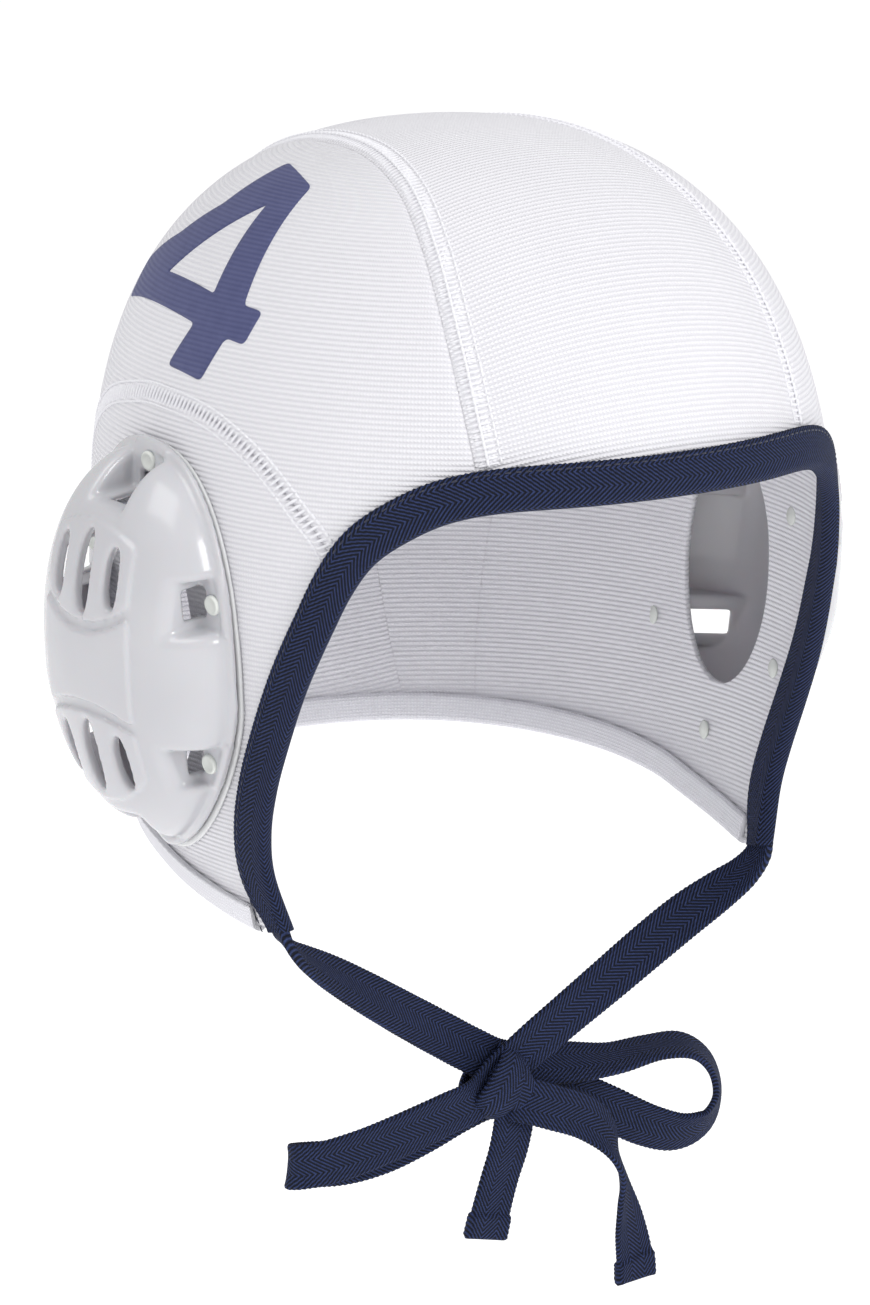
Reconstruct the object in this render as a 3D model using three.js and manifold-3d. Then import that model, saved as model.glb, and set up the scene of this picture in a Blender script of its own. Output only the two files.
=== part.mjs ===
// A water polo cap: a three-panel fabric crown with two ear flaps, a tape binding that runs
// round the face and ends in two ties bowed under the chin, and a vented plastic guard
// riveted over each ear.
//
// Millimetres, +Z up. The wearer faces -Y, and the wearer's right is -X.
// The origin is where the top of the head meets the inside of the crown.

import * as THREE from 'three';
import { mergeVertices } from 'three/addons/utils/BufferGeometryUtils.js';
import Module from 'manifold-3d';

const wasm = await Module();
wasm.setup();

// Driving sizes of the head that the cap is cut for
const HEAD_BREADTH = 152.8;
const HEAD_LENGTH = 189.6;
const CROWN_DEPTH = 100; // top of the head down to its widest level

// Driving sizes of the fabric and its tape
const CLOTH = 1.4;
const TAPE = 1.1;
const TAPE_GAP = 0.3; // tape to the cloth that it folds round
const SEAM_GAP = 0.3; // one panel to the next
const BINDING_WIDTH = 8.6;
const HEM_WIDTH = 6.2;

// Driving sizes of an ear guard
const GUARD_HEIGHT = 93.5;
const GUARD_WIDTH = 66;
const GUARD_DEPTH = 20.9; // middle of the seat out to the face
const GUARD_WALL = 1.8;
const GUARD_FLANGE = 1.6; // width of the rim round the dome
const GUARD_RIM = 1.6; // thickness of that rim
const RIM_TO_BINDING = 9.3; // clear cloth between the guard's rim and the tape in front of it
const RIM_TO_HEM = 4.5; // and between its rim and the hem below it
const GUARD_LEAN = THREE.MathUtils.degToRad(3.5); // its top leans to the front
const GUARD_TILT = THREE.MathUtils.degToRad(7); // its face turns down with the cheek
const GUARD_YAW = THREE.MathUtils.degToRad(10); // it turns forward, deeper behind the ear
const GUARD_BULGE = 2.05; // 2 is a round dome, more is squarer
const SEAT_GAP = 0.3; // cloth to ring, and ring to guard
const FACE_WIDTH = 29; // the raised panels on the dome
const FACE_RELIEF = 1;
const SLOT_WIDTH = 4.6;
const POCKET_WALL = 1.6;
const WINDOW_DEPTH = 8; // how far a pocket's window reaches in under the dome
const RING_THICKNESS = 0.8;
const RING_LIP = 0.3; // how far it shows past the rim
const RING_DROP = 1; // it sits that much lower than the guard, and shows below it
const RING_WIDTH = 1.4; // how far it reaches in under the rim

// Driving sizes of the rivets and the ear holes
const SEAT_LEVEL = CLOTH + SEAT_GAP + RING_THICKNESS + SEAT_GAP; // guard's underside
const RIVET_HEAD = 4.6;
const RIVET_SHANK = 2.2;
const RIVET_RISE = 1;
const RIVET_CLEARANCE = 0.3;
const EAR_HOLE_WIDTH = 33;
const EAR_HOLE_HEIGHT = 58;

// Driving sizes of the ties
const TIE_WIDTH = 10.6;
const TIE_THICKNESS = 1.7;
const TIE_END = 6; // length of the folded, sewn end
const TIE_END_THICKNESS = 3.2;
const KNOT = { x: 15, y: 10.5, z: 15.5 };
const KNOT_GAP = 0.3;

// How the head's outline rounds over the top, and how square it is in plan
const DOME = { side: 2.505, front: 2.33, back: 2.45, plan: 2.085 };
const FRONT_SHARE = 0.493; // share of the length in front of the crown's middle
const TOP_SHIFT = -0.0085; // the top lies that share of the length behind the middle

// Below its widest level the head narrows: down in shares of the crown's depth,
// the rest in shares of the widest section
const NARROWING = {
  columns: ['down', 'breadth', 'front', 'back'],
  rows: [
    [0, 1, 1, 1],
    [0.2, 0.985, 0.99, 0.975],
    [0.4, 0.95, 0.97, 0.92],
    [0.6, 0.895, 0.94, 0.84],
    [0.8, 0.825, 0.9, 0.75],
    [1, 0.745, 0.86, 0.67],
  ],
};

// Cut edge of the cloth from the middle of the forehead to the tip of the flap:
// turn round the head from the front in degrees, down in shares of the crown's depth
const FACE_EDGE = {
  columns: ['turn', 'down'],
  rows: [
    [0, 0.675], [15, 0.677], [29, 0.684], [38, 0.707], [45, 0.752], [50.5, 0.808],
    [54.5, 0.885], [58.3, 0.99], [62.2, 1.1], [66.4, 1.236], [70.2, 1.36], [73, 1.474],
    [74, 1.575], [72.4, 1.7],
  ],
};

// Cut edge from the tip of the flap back to the middle of the nape
const NAPE_EDGE = {
  columns: ['turn', 'down'],
  rows: [
    [72.4, 1.7], [78, 1.7], [83.5, 1.688], [90, 1.667], [97, 1.643], [105, 1.612],
    [118, 1.58], [135, 1.555], [155, 1.54], [180, 1.535],
  ],
};

// Arched seam between a side panel and the ear flap, between the two edges
const ARCH_SEAM = {
  columns: ['turn', 'down'],
  rows: [
    [58.3, 0.779], [61.9, 0.727], [65.3, 0.679], [70.3, 0.624], [76.9, 0.578], [83, 0.553],
    [90.7, 0.542], [99.1, 0.546], [113, 0.595], [124, 0.69], [132, 0.84], [137, 1.05],
    [140.5, 1.3],
  ],
};
const ARCH_ENDS = { front: 53.9, back: 142.5 }; // turn where the seam meets the edges

// Seam of the centre panel: over is the angle from the forehead over the head,
// half its half width in shares of the head's half breadth
const CENTRE_SEAM = {
  columns: ['over', 'half'],
  rows: [
    [15, 0.545], [25, 0.549], [36, 0.55], [48, 0.53], [60, 0.484], [72, 0.425], [86, 0.373],
    [104, 0.338], [128, 0.328], [157, 0.35], [187, 0.385], [222, 0.4],
  ],
};

// Pockets in the guard's wall: along and up in shares of the guard's half width and half
// height, half their half height in shares of the guard's height, floor how far in the
// rivet's seat reaches in shares of the half width
const SIDE_POCKETS = {
  columns: ['up', 'half', 'rivet'],
  rows: [
    [0.385, 0.06, 0.824],
    [-0.41, 0.05, 0.724],
  ],
};
const SIDE_POCKET = { depth: 6.6, windowTop: 0.44 }; // the window's top in shares of the guard's depth
const END_POCKET = { half: 6, depth: 9, rivet: 4.2, windowTop: 0.3 };

// Vents in the flat face, and the raised panels round them, in shares of the face's
// half width (along, across) and of the guard's half height (up)
const VENTS = {
  columns: ['along', 'low', 'high', 'width'],
  rows: [
    [0, 0.31, 0.7, 1], [-0.62, 0.36, 0.65, 0.87], [0.62, 0.36, 0.65, 0.87],
    [0, -0.58, -0.21, 1], [-0.62, -0.545, -0.26, 0.87], [0.62, -0.545, -0.26, 0.87],
  ],
};
const FACE_PANELS = {
  columns: ['topSide', 'topMiddle', 'lowSide', 'lowMiddle'],
  rows: [
    [0.655, 0.745, 0.39, 0.285],
    [0.345, 0.235, -0.19, -0.11],
    [-0.235, -0.165, -0.47, -0.635],
  ],
};

// Routes of the ties, chosen by hand: a point on the tape's middle, and how far the tape is
// rolled about its run in degrees, 0 with its width front to back, 90 with its face forward
const RIGHT_STRAP_ROUTE = [
  [-64.2, -23.8, -173.6, 8], [-60.5, -23.0, -176.2, 22], [-54.8, -21.4, -180.0, 50],
  [-46.0, -19.4, -185.6, 66], [-36.5, -17.3, -191.8, 74], [-26.5, -15.0, -198.4, 80],
  [-16.0, -12.6, -205.2, 84], [-6.5, -11.2, -211.3, 88], [-1.0, -10.8, -214.8, 90],
];
const LEFT_STRAP_ROUTE = [
  [64.2, -23.8, -173.6, -8], [60.5, -23.2, -176.2, -22], [54.8, -22.0, -180.0, -50],
  [46.0, -20.6, -185.6, -66], [36.5, -19.4, -191.8, -74], [26.5, -18.2, -198.4, -80],
  [16.0, -17.0, -205.2, -84], [6.5, -16.2, -211.3, -88], [1.0, -15.8, -214.8, -90],
];
const RIGHT_LOOP_ROUTE = [
  [-1.0, -13.4, -220.5, 86], [-8.5, -15.8, -221.8, 86], [-18.0, -17.8, -223.2, 88],
  [-29.0, -18.9, -225.2, 90], [-40.0, -19.0, -227.3, 92], [-49.5, -17.8, -228.8, 92],
  [-54.4, -15.4, -229.5, 90], [-55.4, -12.6, -229.9, 90], [-53.6, -10.2, -230.6, 88],
  [-48.0, -8.6, -231.8, 84], [-38.5, -8.4, -232.9, 82], [-28.5, -9.0, -231.9, 84],
  [-18.5, -9.8, -229.0, 88], [-9.0, -10.6, -225.4, 90], [-1.0, -11.2, -222.4, 90],
];
const LEFT_LOOP_ROUTE = [
  [1.0, -12.0, -216.4, 80], [10.0, -12.0, -217.0, 70], [20.0, -12.4, -218.4, 48],
  [31.0, -13.0, -219.2, 24], [42.0, -13.0, -218.6, 14], [51.5, -13.1, -219.8, 22],
  [57.6, -13.2, -225.0, 30], [59.6, -13.2, -232.6, 38], [56.4, -13.1, -239.0, 54],
  [49.0, -13.0, -240.4, 66], [40.0, -12.6, -237.2, 76], [30.0, -11.8, -231.4, 84],
  [19.5, -10.8, -225.6, 88], [9.5, -9.8, -221.6, 90], [1.0, -9.4, -219.6, 90],
];
const SHORT_TAIL_ROUTE = [
  [2.4, -15.2, -221.0, 90], [1.9, -15.8, -228.0, 90], [0.4, -15.6, -235.0, 88],
  [-1.4, -14.4, -242.0, 86], [-3.2, -13.6, -249.0, 88], [-4.9, -12.9, -256.6, 92],
];
const LONG_TAIL_ROUTE = [
  [3.0, -18.2, -223.5, 88], [10.5, -19.6, -226.0, 86], [18.5, -20.0, -229.6, 76],
  [25.0, -19.8, -235.4, 52], [28.6, -18.6, -243.0, 26], [31.0, -16.6, -251.0, 44],
  [33.4, -15.0, -259.5, 68], [35.2, -14.2, -268.0, 82], [35.6, -14.0, -274.0, 86],
];
const KNOT_CENTRE = new THREE.Vector3(0, -13.2, -219.2);

// How finely the solids are faceted
const FACETS = {
  seam: 20, centreAcross: 7, sideDown: 5, flapRings: 4, flapNape: 8, flapFace: 9,
  guardRound: 28, guardRise: 4, rivet: 7, knot: [10, 6], tieStep: 6.5,
};

const vec = (x, y, z) => new THREE.Vector3(x, y, z);
const signedPower = (x, p) => Math.sign(x) * Math.abs(x) ** p;
const range = (count) => Array.from({ length: count + 1 }, (_, i) => i / count);

// A smooth reading of a table: the value of every other column where the first one is x
function readTable({ rows }, x) {
  const last = rows.length - 1;
  const clamped = Math.min(Math.max(x, rows[0][0]), rows[last][0]);
  let i = 0;
  while (i < last - 1 && clamped > rows[i + 1][0]) i += 1;
  return readBetween(rows, i, (clamped - rows[i][0]) / (rows[i + 1][0] - rows[i][0]), 1);
}

// A cubic between rows i and i + 1, with slopes taken from their neighbours
function readBetween(rows, i, t, firstColumn) {
  const last = rows.length - 1;
  const step = (k) => (firstColumn ? rows[k + 1][0] - rows[k][0] : 1);
  const slope = (k, column) => {
    const run = (j) => (rows[j + 1][column] - rows[j][column]) / step(j);
    if (k === 0) return run(0);
    if (k === last) return run(last - 1);
    return (run(k - 1) + run(k)) / 2;
  };
  const h = step(i);
  return rows[i].slice(firstColumn).map((from, c) => {
    const column = c + firstColumn;
    const to = rows[i + 1][column];
    const t2 = t * t;
    const t3 = t2 * t;
    return (2 * t3 - 3 * t2 + 1) * from + (t3 - 2 * t2 + t) * h * slope(i, column)
      + (3 * t2 - 2 * t3) * to + (t3 - t2) * h * slope(i + 1, column);
  });
}

// A point of a table's rows taken as a curve, share 0 to 1 from the first row to the last
function alongRows({ rows }, share) {
  const at = Math.min(Math.max(share, 0), 1) * (rows.length - 1);
  const i = Math.min(Math.floor(at), rows.length - 2);
  return readBetween(rows, i, at - i, 0);
}

// The share between low and high where a rising function reaches a value
function solveRising(fn, value, low, high) {
  let a = low;
  let b = high;
  for (let n = 0; n < 40; n += 1) {
    const middle = (a + b) / 2;
    if (fn(middle) < value) a = middle;
    else b = middle;
  }
  return (a + b) / 2;
}

// The level section of the head at height z, grown outwards by out
function headSection(z, out) {
  const crown = z > -CROWN_DEPTH;
  const height = crown ? (z + CROWN_DEPTH) / (CROWN_DEPTH + out) : 0;
  const low = readTable(NARROWING, -z / CROWN_DEPTH - 1);
  const share = (power, k) => (crown ? Math.max(0, 1 - height ** power) ** (1 / power) : low[k]);
  const grown = (size, power, k) => size * share(power, k) + out * (crown ? share(power, k) : 1);
  return {
    side: grown(HEAD_BREADTH / 2, DOME.side, 0),
    front: grown(HEAD_LENGTH * FRONT_SHARE, DOME.front, 1),
    back: grown(HEAD_LENGTH * (1 - FRONT_SHARE), DOME.back, 2),
    shift: HEAD_LENGTH * TOP_SHIFT * height,
  };
}

function insideHead(p, out) {
  if (p.z >= out) return false;
  const s = headSection(p.z, out);
  const y = p.y - s.shift;
  const reach = y < 0 ? s.front : s.back;
  return Math.abs(p.x / s.side) ** DOME.plan + Math.abs(y / reach) ** DOME.plan < 1;
}

// The last point of a ray inside the grown head
function castOut(from, direction, out, reach = 2 * HEAD_LENGTH) {
  let near = 0;
  let far = reach;
  for (let n = 0; n < 44; n += 1) {
    const middle = (near + far) / 2;
    if (insideHead(from.clone().addScaledVector(direction, middle), out)) near = middle;
    else far = middle;
  }
  return from.clone().addScaledVector(direction, near);
}

// The head's surface, grown by out, straight out from its core through p
function onHead(p, out) {
  const core = vec(0, 0, Math.min(p.z, -CROWN_DEPTH));
  return castOut(core, p.clone().sub(core).normalize(), out);
}

// A point by its turn round the head and its depth below the crown, wearer's right side
function byTurn(turn, down, out = CLOTH / 2) {
  const z = -down * CROWN_DEPTH;
  const s = headSection(z, out);
  const angle = THREE.MathUtils.degToRad(turn);
  const reach = Math.cos(angle) > 0 ? s.front : s.back;
  return vec(
    -s.side * signedPower(Math.sin(angle), 2 / DOME.plan),
    s.shift - reach * signedPower(Math.cos(angle), 2 / DOME.plan),
    z,
  );
}

// A table's rows as a curve on the head with its shares evenly spaced along its length
function evenRows(table) {
  const shares = range(300);
  const points = shares.map((share) => byTurn(...alongRows(table, share)));
  const lengths = [0];
  points.slice(1).forEach((p, i) => lengths.push(lengths[i] + p.distanceTo(points[i])));
  const total = lengths[lengths.length - 1];
  return (share) => {
    const wanted = Math.min(Math.max(share, 0), 1) * total;
    const i = Math.max(1, lengths.findIndex((length) => length >= wanted));
    const between = (wanted - lengths[i - 1]) / (lengths[i] - lengths[i - 1]);
    return alongRows(table, THREE.MathUtils.lerp(shares[i - 1], shares[i], between));
  };
}

const faceRow = evenRows(FACE_EDGE);
const napeRow = evenRows(NAPE_EDGE);
const faceEdge = (share) => byTurn(...faceRow(share));
const napeEdge = (share) => byTurn(...napeRow(share));
const seamHalf = (over) => (readTable(CENTRE_SEAM, THREE.MathUtils.radToDeg(over))[0] * HEAD_BREADTH) / 2;
const overAngle = (p) => {
  const angle = Math.atan2(p.z + CROWN_DEPTH, -p.y);
  return angle < -Math.PI / 2 ? angle + 2 * Math.PI : angle;
};

// The middle surface of the cloth in the upright plane at x, at an angle over the head
const overHead = (x, over) => castOut(
  vec(x, 0, -CROWN_DEPTH),
  vec(0, -Math.cos(over), Math.sin(over)),
  CLOTH / 2,
);

// Where the cut edges pass a distance from the middle plane
const faceShareAt = (x) => solveRising((s) => -faceEdge(s).x, x, 0, 0.5);
const napeShareAt = (x) => 1 - solveRising((s) => -napeEdge(1 - s).x, x, 0, 0.4);
const turnShare = (row, turn, low, high) => solveRising((s) => row(s)[0], turn, low, high);

// Ends of the centre seam on both edges, as shares of those edges
const seamFront = faceShareAt(seamHalf(overAngle(faceEdge(0.14))));
const seamBack = napeShareAt(seamHalf(overAngle(napeEdge(0.9))));
const archFront = turnShare(faceRow, ARCH_ENDS.front, 0.2, 0.7);
const archBack = turnShare(napeRow, ARCH_ENDS.back, 0.4, 1);

// The arched seam, with its ends set on the two edges
const archRow = evenRows({ rows: [faceRow(archFront), ...ARCH_SEAM.rows, napeRow(archBack)] });
const archPoint = (share) => byTurn(...archRow(share));

// Steps a curve on the head sideways along the surface, to the left of its run
function stepAside(curve, share, distance) {
  const small = 0.002;
  const run = curve(Math.min(share + small, 1)).sub(curve(Math.max(share - small, 0))).normalize();
  const p = curve(share);
  const aside = headNormal(p).cross(run).normalize();
  return onHead(p.clone().addScaledVector(aside, distance), CLOTH / 2);
}

function headNormal(p) {
  const near = onHead(p, 0);
  const small = 0.5;
  const aside = Math.abs(near.z) > 0.2 * CROWN_DEPTH ? vec(0, 0, small) : vec(small, 0, 0);
  const round = vec(-near.y, near.x, 0).normalize().multiplyScalar(small);
  const a = onHead(near.clone().add(round), 0).sub(onHead(near.clone().sub(round), 0));
  const b = onHead(near.clone().add(aside), 0).sub(onHead(near.clone().sub(aside), 0));
  const normal = a.cross(b).normalize();
  return normal.dot(near.clone().sub(vec(0, 0, -CROWN_DEPTH))) < 0 ? normal.negate() : normal;
}

// Corner lists of triangles, made into one closed mesh
function meshOf(corners) {
  const geometry = new THREE.BufferGeometry();
  geometry.setAttribute('position', new THREE.Float32BufferAttribute(corners.flatMap((p) => [p.x, p.y, p.z]), 3));
  return tidied(geometry);
}

// Shared vertices merged, flat triangles dropped, faces turned outwards
function tidied(geometry) {
  for (const name of ['normal', 'uv']) geometry.deleteAttribute(name);
  const merged = mergeVertices(geometry, 1e-4);
  const index = Array.from(merged.index.array);
  const kept = [];
  for (let i = 0; i < index.length; i += 3) {
    const [a, b, c] = index.slice(i, i + 3);
    if (a !== b && b !== c && c !== a) kept.push(a, b, c);
  }
  const at = (i) => new THREE.Vector3().fromBufferAttribute(merged.getAttribute('position'), i);
  let volume = 0;
  for (let i = 0; i < kept.length; i += 3) {
    volume += at(kept[i]).dot(at(kept[i + 1]).cross(at(kept[i + 2])));
  }
  if (volume < 0) kept.reverse();
  merged.setIndex(kept);
  return merged;
}

// A wall between two grids of points, closed along its borders
function wallBetween(outer, inner, wrap = false) {
  const corners = [];
  const quad = (a, b, c, d) => corners.push(a, b, c, a, c, d);
  const rows = outer.length - 1;
  const cols = outer[0].length;
  const last = wrap ? cols : cols - 1;
  for (let j = 0; j < last; j += 1) {
    const k = (j + 1) % cols;
    for (let i = 0; i < rows; i += 1) {
      quad(outer[i][j], outer[i + 1][j], outer[i + 1][k], outer[i][k]);
      quad(inner[i][j], inner[i][k], inner[i + 1][k], inner[i + 1][j]);
    }
    quad(outer[0][j], outer[0][k], inner[0][k], inner[0][j]);
    quad(outer[rows][k], outer[rows][j], inner[rows][j], inner[rows][k]);
  }
  for (let i = 0; i < rows && !wrap; i += 1) {
    quad(outer[i][0], inner[i][0], inner[i + 1][0], outer[i + 1][0]);
    quad(outer[i + 1][last], inner[i + 1][last], inner[i][last], outer[i][last]);
  }
  return meshOf(corners);
}

// The cloth panel over a grid of points on the head
const panel = (grid, wrap = false) => wallBetween(
  grid.map((row) => row.map((p) => onHead(p, CLOTH))),
  grid.map((row) => row.map((p) => onHead(p, 0))),
  wrap,
);

// Closed rings of points joined one to the next, with both ends capped
function loft(rings, cap) {
  const corners = [];
  const count = rings[0].length;
  for (let i = 0; i < rings.length - 1; i += 1) {
    for (let j = 0; j < count; j += 1) {
      const k = (j + 1) % count;
      corners.push(rings[i][j], rings[i][k], rings[i + 1][k]);
      corners.push(rings[i][j], rings[i + 1][k], rings[i + 1][j]);
    }
  }
  const last = rings[rings.length - 1];
  for (const [a, b, c] of cap) {
    corners.push(rings[0][c], rings[0][b], rings[0][a]);
    corners.push(last[a], last[b], last[c]);
  }
  return meshOf(corners);
}

// Shares along a seam from front to back, closer together near the cut edges
const seamShares = () => range(FACETS.seam).map((t) => t - (0.3 * Math.sin(2 * Math.PI * t)) / (2 * Math.PI));

const toSolid = (geometry) => new wasm.Manifold(new wasm.Mesh({
  numProp: 3,
  vertProperties: new Float32Array(geometry.getAttribute('position').array),
  triVerts: new Uint32Array(geometry.index.array),
}));

function toGeometry(solid) {
  const { vertProperties, triVerts } = solid.getMesh();
  const geometry = new THREE.BufferGeometry();
  geometry.setAttribute('position', new THREE.BufferAttribute(vertProperties, 3));
  geometry.setIndex(new THREE.BufferAttribute(triVerts, 1));
  return geometry;
}

// The same shape on the other side of the wearer
function mirrored(geometry) {
  const copy = geometry.clone().scale(-1, 1, 1);
  copy.setIndex(Array.from(copy.index.array).reverse());
  return copy;
}

// The centre panel runs from the forehead over the head to the nape
function centrePanel() {
  const frontHalf = -faceEdge(seamFront).x;
  const grid = seamShares().map((along) => range(FACETS.centreAcross).map((side) => {
    const lean = 2 * side - 1;
    const from = overAngle(faceEdge(faceShareAt(Math.abs(lean) * frontHalf)));
    const to = overAngle(napeEdge(napeShareAt(Math.abs(lean) * -napeEdge(seamBack).x)));
    const over = THREE.MathUtils.lerp(from, to, along);
    return overHead(lean * (seamHalf(over) - SEAM_GAP / 2), over);
  }));
  return panel(grid);
}

// A patch of the head between four curves that meet at its corners
function patchBetween(top, low, front, back) {
  return seamShares().map((s) => range(FACETS.sideDown).map((t) => {
    const p = top(s).multiplyScalar(1 - t).addScaledVector(low(s), t)
      .addScaledVector(front(t), 1 - s).addScaledVector(back(t), s);
    p.addScaledVector(top(0), -(1 - s) * (1 - t)).addScaledVector(top(1), -s * (1 - t));
    p.addScaledVector(low(0), -(1 - s) * t).addScaledVector(low(1), -s * t);
    return onHead(p, CLOTH / 2);
  }));
}

// A side panel, from the centre seam down to the arched seam
function sidePanel() {
  const from = overAngle(faceEdge(seamFront));
  const to = overAngle(napeEdge(seamBack));
  const top = (s) => {
    const over = THREE.MathUtils.lerp(from, to, s);
    return overHead(-seamHalf(over) - SEAM_GAP / 2, over);
  };
  const low = (s) => stepAside(archPoint, s, -SEAM_GAP / 2);
  const front = (t) => fitEnds(
    (u) => faceEdge(THREE.MathUtils.lerp(seamFront, archFront, u)), top(0), low(0), t,
  );
  const back = (t) => fitEnds(
    (u) => napeEdge(THREE.MathUtils.lerp(seamBack, archBack, u)), top(1), low(1), t,
  );
  const solid = toSolid(panel(patchBetween(top, low, front, back)));
  return toGeometry(solid.subtract(union(shankHoles())));
}

// A curve moved a little so that its ends land on two given points
function fitEnds(curve, start, end, t) {
  return curve(t)
    .addScaledVector(start.clone().sub(curve(0)), 1 - t)
    .addScaledVector(end.clone().sub(curve(1)), t);
}

// The guard sits a set way above the hem below it, and a set way behind the tape in front of it
const EGG = { above: 0.56, powerAbove: 2.4, powerBelow: 1.55, top: 0.511 };
const guardDrop = (() => {
  const below = napeEdge(turnShare(napeRow, 90, 0, 0.5));
  return -below.z - HEM_WIDTH - RIM_TO_HEM - GUARD_HEIGHT * (1 - EGG.top);
})();
const guardSetBack = (() => {
  const level = solveRising((s) => -faceEdge(s).z, guardDrop, 0, 1);
  return faceEdge(level).y + BINDING_WIDTH + RIM_TO_BINDING + GUARD_WIDTH / 2;
})();

// The guard's own frame on the wearer's right: w to the front, v up, n out of the cheek
const guardBasis = (() => {
  const turned = (x, y, z) => vec(x, y, z).applyAxisAngle(vec(0, 0, 1), GUARD_YAW);
  const n = turned(-Math.cos(GUARD_TILT), 0, -Math.sin(GUARD_TILT));
  const up = turned(-Math.sin(GUARD_TILT), 0, Math.cos(GUARD_TILT));
  const front = turned(0, -1, 0);
  return {
    w: front.clone().multiplyScalar(Math.cos(GUARD_LEAN)).addScaledVector(up, -Math.sin(GUARD_LEAN)),
    v: up.clone().multiplyScalar(Math.cos(GUARD_LEAN)).addScaledVector(front, Math.sin(GUARD_LEAN)),
    n,
    seat: onHead(vec(-HEAD_BREADTH, guardSetBack, -guardDrop), CLOTH),
  };
})();

const guardPoint = (w, v, h) => guardBasis.seat.clone()
  .addScaledVector(guardBasis.w, w)
  .addScaledVector(guardBasis.v, v)
  .addScaledVector(guardBasis.n, h);

// Height of the head, grown by out, above the guard's seat plane
function seatHeight(w, v, out) {
  const depth = HEAD_BREADTH / 4;
  const from = guardPoint(w, v, -depth);
  return castOut(from, guardBasis.n, out, 2 * depth).sub(from).length() - depth;
}

// Outline of the guard: an egg, squarer above its widest level and pointed below it
function eggPoint(angle, inset) {
  const c = Math.cos(angle);
  const s = Math.sin(angle);
  const power = s > 0 ? EGG.powerAbove : EGG.powerBelow;
  const up = GUARD_HEIGHT * (s > 0 ? EGG.above : 1 - EGG.above) - inset;
  return {
    w: (GUARD_WIDTH / 2 - inset) * signedPower(c, 2 / power),
    v: up * signedPower(s, 2 / power) + GUARD_HEIGHT * (EGG.top - EGG.above),
  };
}
const eggMiddle = GUARD_HEIGHT * (EGG.top - EGG.above);

// A closed lump in rings from the middle of its face out over the dome, then in again under
// it along the seat, where it reaches sink below the rim's underside
function domeSolid(inset, faceHeight, sink, rimHeight) {
  const round = FACETS.guardRound;
  const bulge = 2 / GUARD_BULGE;
  const ring = (spread, ringInset, heightAt) => Array.from({ length: round }, (_, j) => {
    const egg = eggPoint(((j + 0.5) / round) * 2 * Math.PI, ringInset);
    const w = egg.w * spread;
    const v = eggMiddle + (egg.v - eggMiddle) * spread;
    return guardPoint(w, v, heightAt(seatHeight(w, v, SEAT_LEVEL)));
  });
  const rings = range(FACETS.guardRise).map((t) => {
    const rise = (t * Math.PI) / 2;
    const height = Math.cos(rise) ** bulge;
    return ring(Math.sin(rise) ** bulge, inset, (seat) => (
      THREE.MathUtils.lerp(seat + rimHeight, faceHeight, height)
    ));
  });
  const base = rimHeight > 0 ? 0 : inset;
  if (rimHeight > 0) rings.push(ring(1, base, (seat) => seat + rimHeight));
  for (const spread of [1, 0.7, 0]) rings.push(ring(spread, base, (seat) => seat - sink));
  return toSolid(loft(rings, []));
}

// An upright block in the guard's frame
function guardBlock([w0, w1], [v0, v1], [h0, h1]) {
  const box = new THREE.BoxGeometry(w1 - w0, v1 - v0, h1 - h0);
  box.translate((w0 + w1) / 2, (v0 + v1) / 2, (h0 + h1) / 2);
  return toSolid(tidied(intoGuard(box)));
}

// Geometry drawn in the guard's w, v, h, set on the wearer's right ear
function intoGuard(geometry) {
  const basis = new THREE.Matrix4().makeBasis(guardBasis.w, guardBasis.v, guardBasis.n);
  return geometry.applyMatrix4(basis).translate(...guardBasis.seat.toArray());
}

// A flat outline in w and v, pushed out from one height to another
function guardPrism(points, low, high) {
  const outline = new THREE.Shape(points.map(([w, v]) => new THREE.Vector2(w, v)));
  const prism = new THREE.ExtrudeGeometry(outline, { depth: high - low, bevelEnabled: false });
  return toSolid(tidied(intoGuard(prism.translate(0, 0, low))));
}

// A vent is a lens: two shallow arcs that meet in points
function ventOutline([along, low, high, width]) {
  const half = GUARD_HEIGHT / 2;
  const middle = (along * FACE_WIDTH) / 2;
  const arc = range(3).map((t) => [
    (Math.sin(t * Math.PI) ** 0.5 * SLOT_WIDTH * width) / 2,
    THREE.MathUtils.lerp(low, high, t) * half,
  ]);
  const right = arc.map(([w, v]) => [middle + w, v]);
  const left = arc.slice(1, -1).reverse().map(([w, v]) => [middle - w, v]);
  return [...right, ...left];
}

// A raised panel with straight sides and bowed top and bottom edges
function panelOutline([topSide, topMiddle, lowSide, lowMiddle]) {
  const half = GUARD_HEIGHT / 2;
  const bow = (side, middle) => range(4).map((t) => [
    (t - 0.5) * FACE_WIDTH,
    (side + (middle - side) * (1 - (2 * t - 1) ** 2)) * half,
  ]);
  return [...bow(lowSide, lowMiddle), ...bow(topSide, topMiddle).reverse()];
}

// The six rivet places of a guard in its frame, and the pocket that opens to each
function pockets() {
  const half = GUARD_WIDTH / 2;
  const found = [];
  for (const [up, halfHeight, rivet] of SIDE_POCKETS.rows) {
    for (const side of [1, -1]) {
      found.push({
        rivet: [side * rivet * half, (up * GUARD_HEIGHT) / 2],
        across: [0, side], half: halfHeight * GUARD_HEIGHT, ...SIDE_POCKET,
      });
    }
  }
  const top = GUARD_HEIGHT * EGG.top - END_POCKET.rivet;
  const low = GUARD_HEIGHT * (EGG.top - 1) + END_POCKET.rivet + GUARD_FLANGE / 2;
  found.push({ ...END_POCKET, rivet: [0, top], across: [1, 1] });
  found.push({ ...END_POCKET, rivet: [0, low], across: [1, -1] });
  return found;
}

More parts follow.
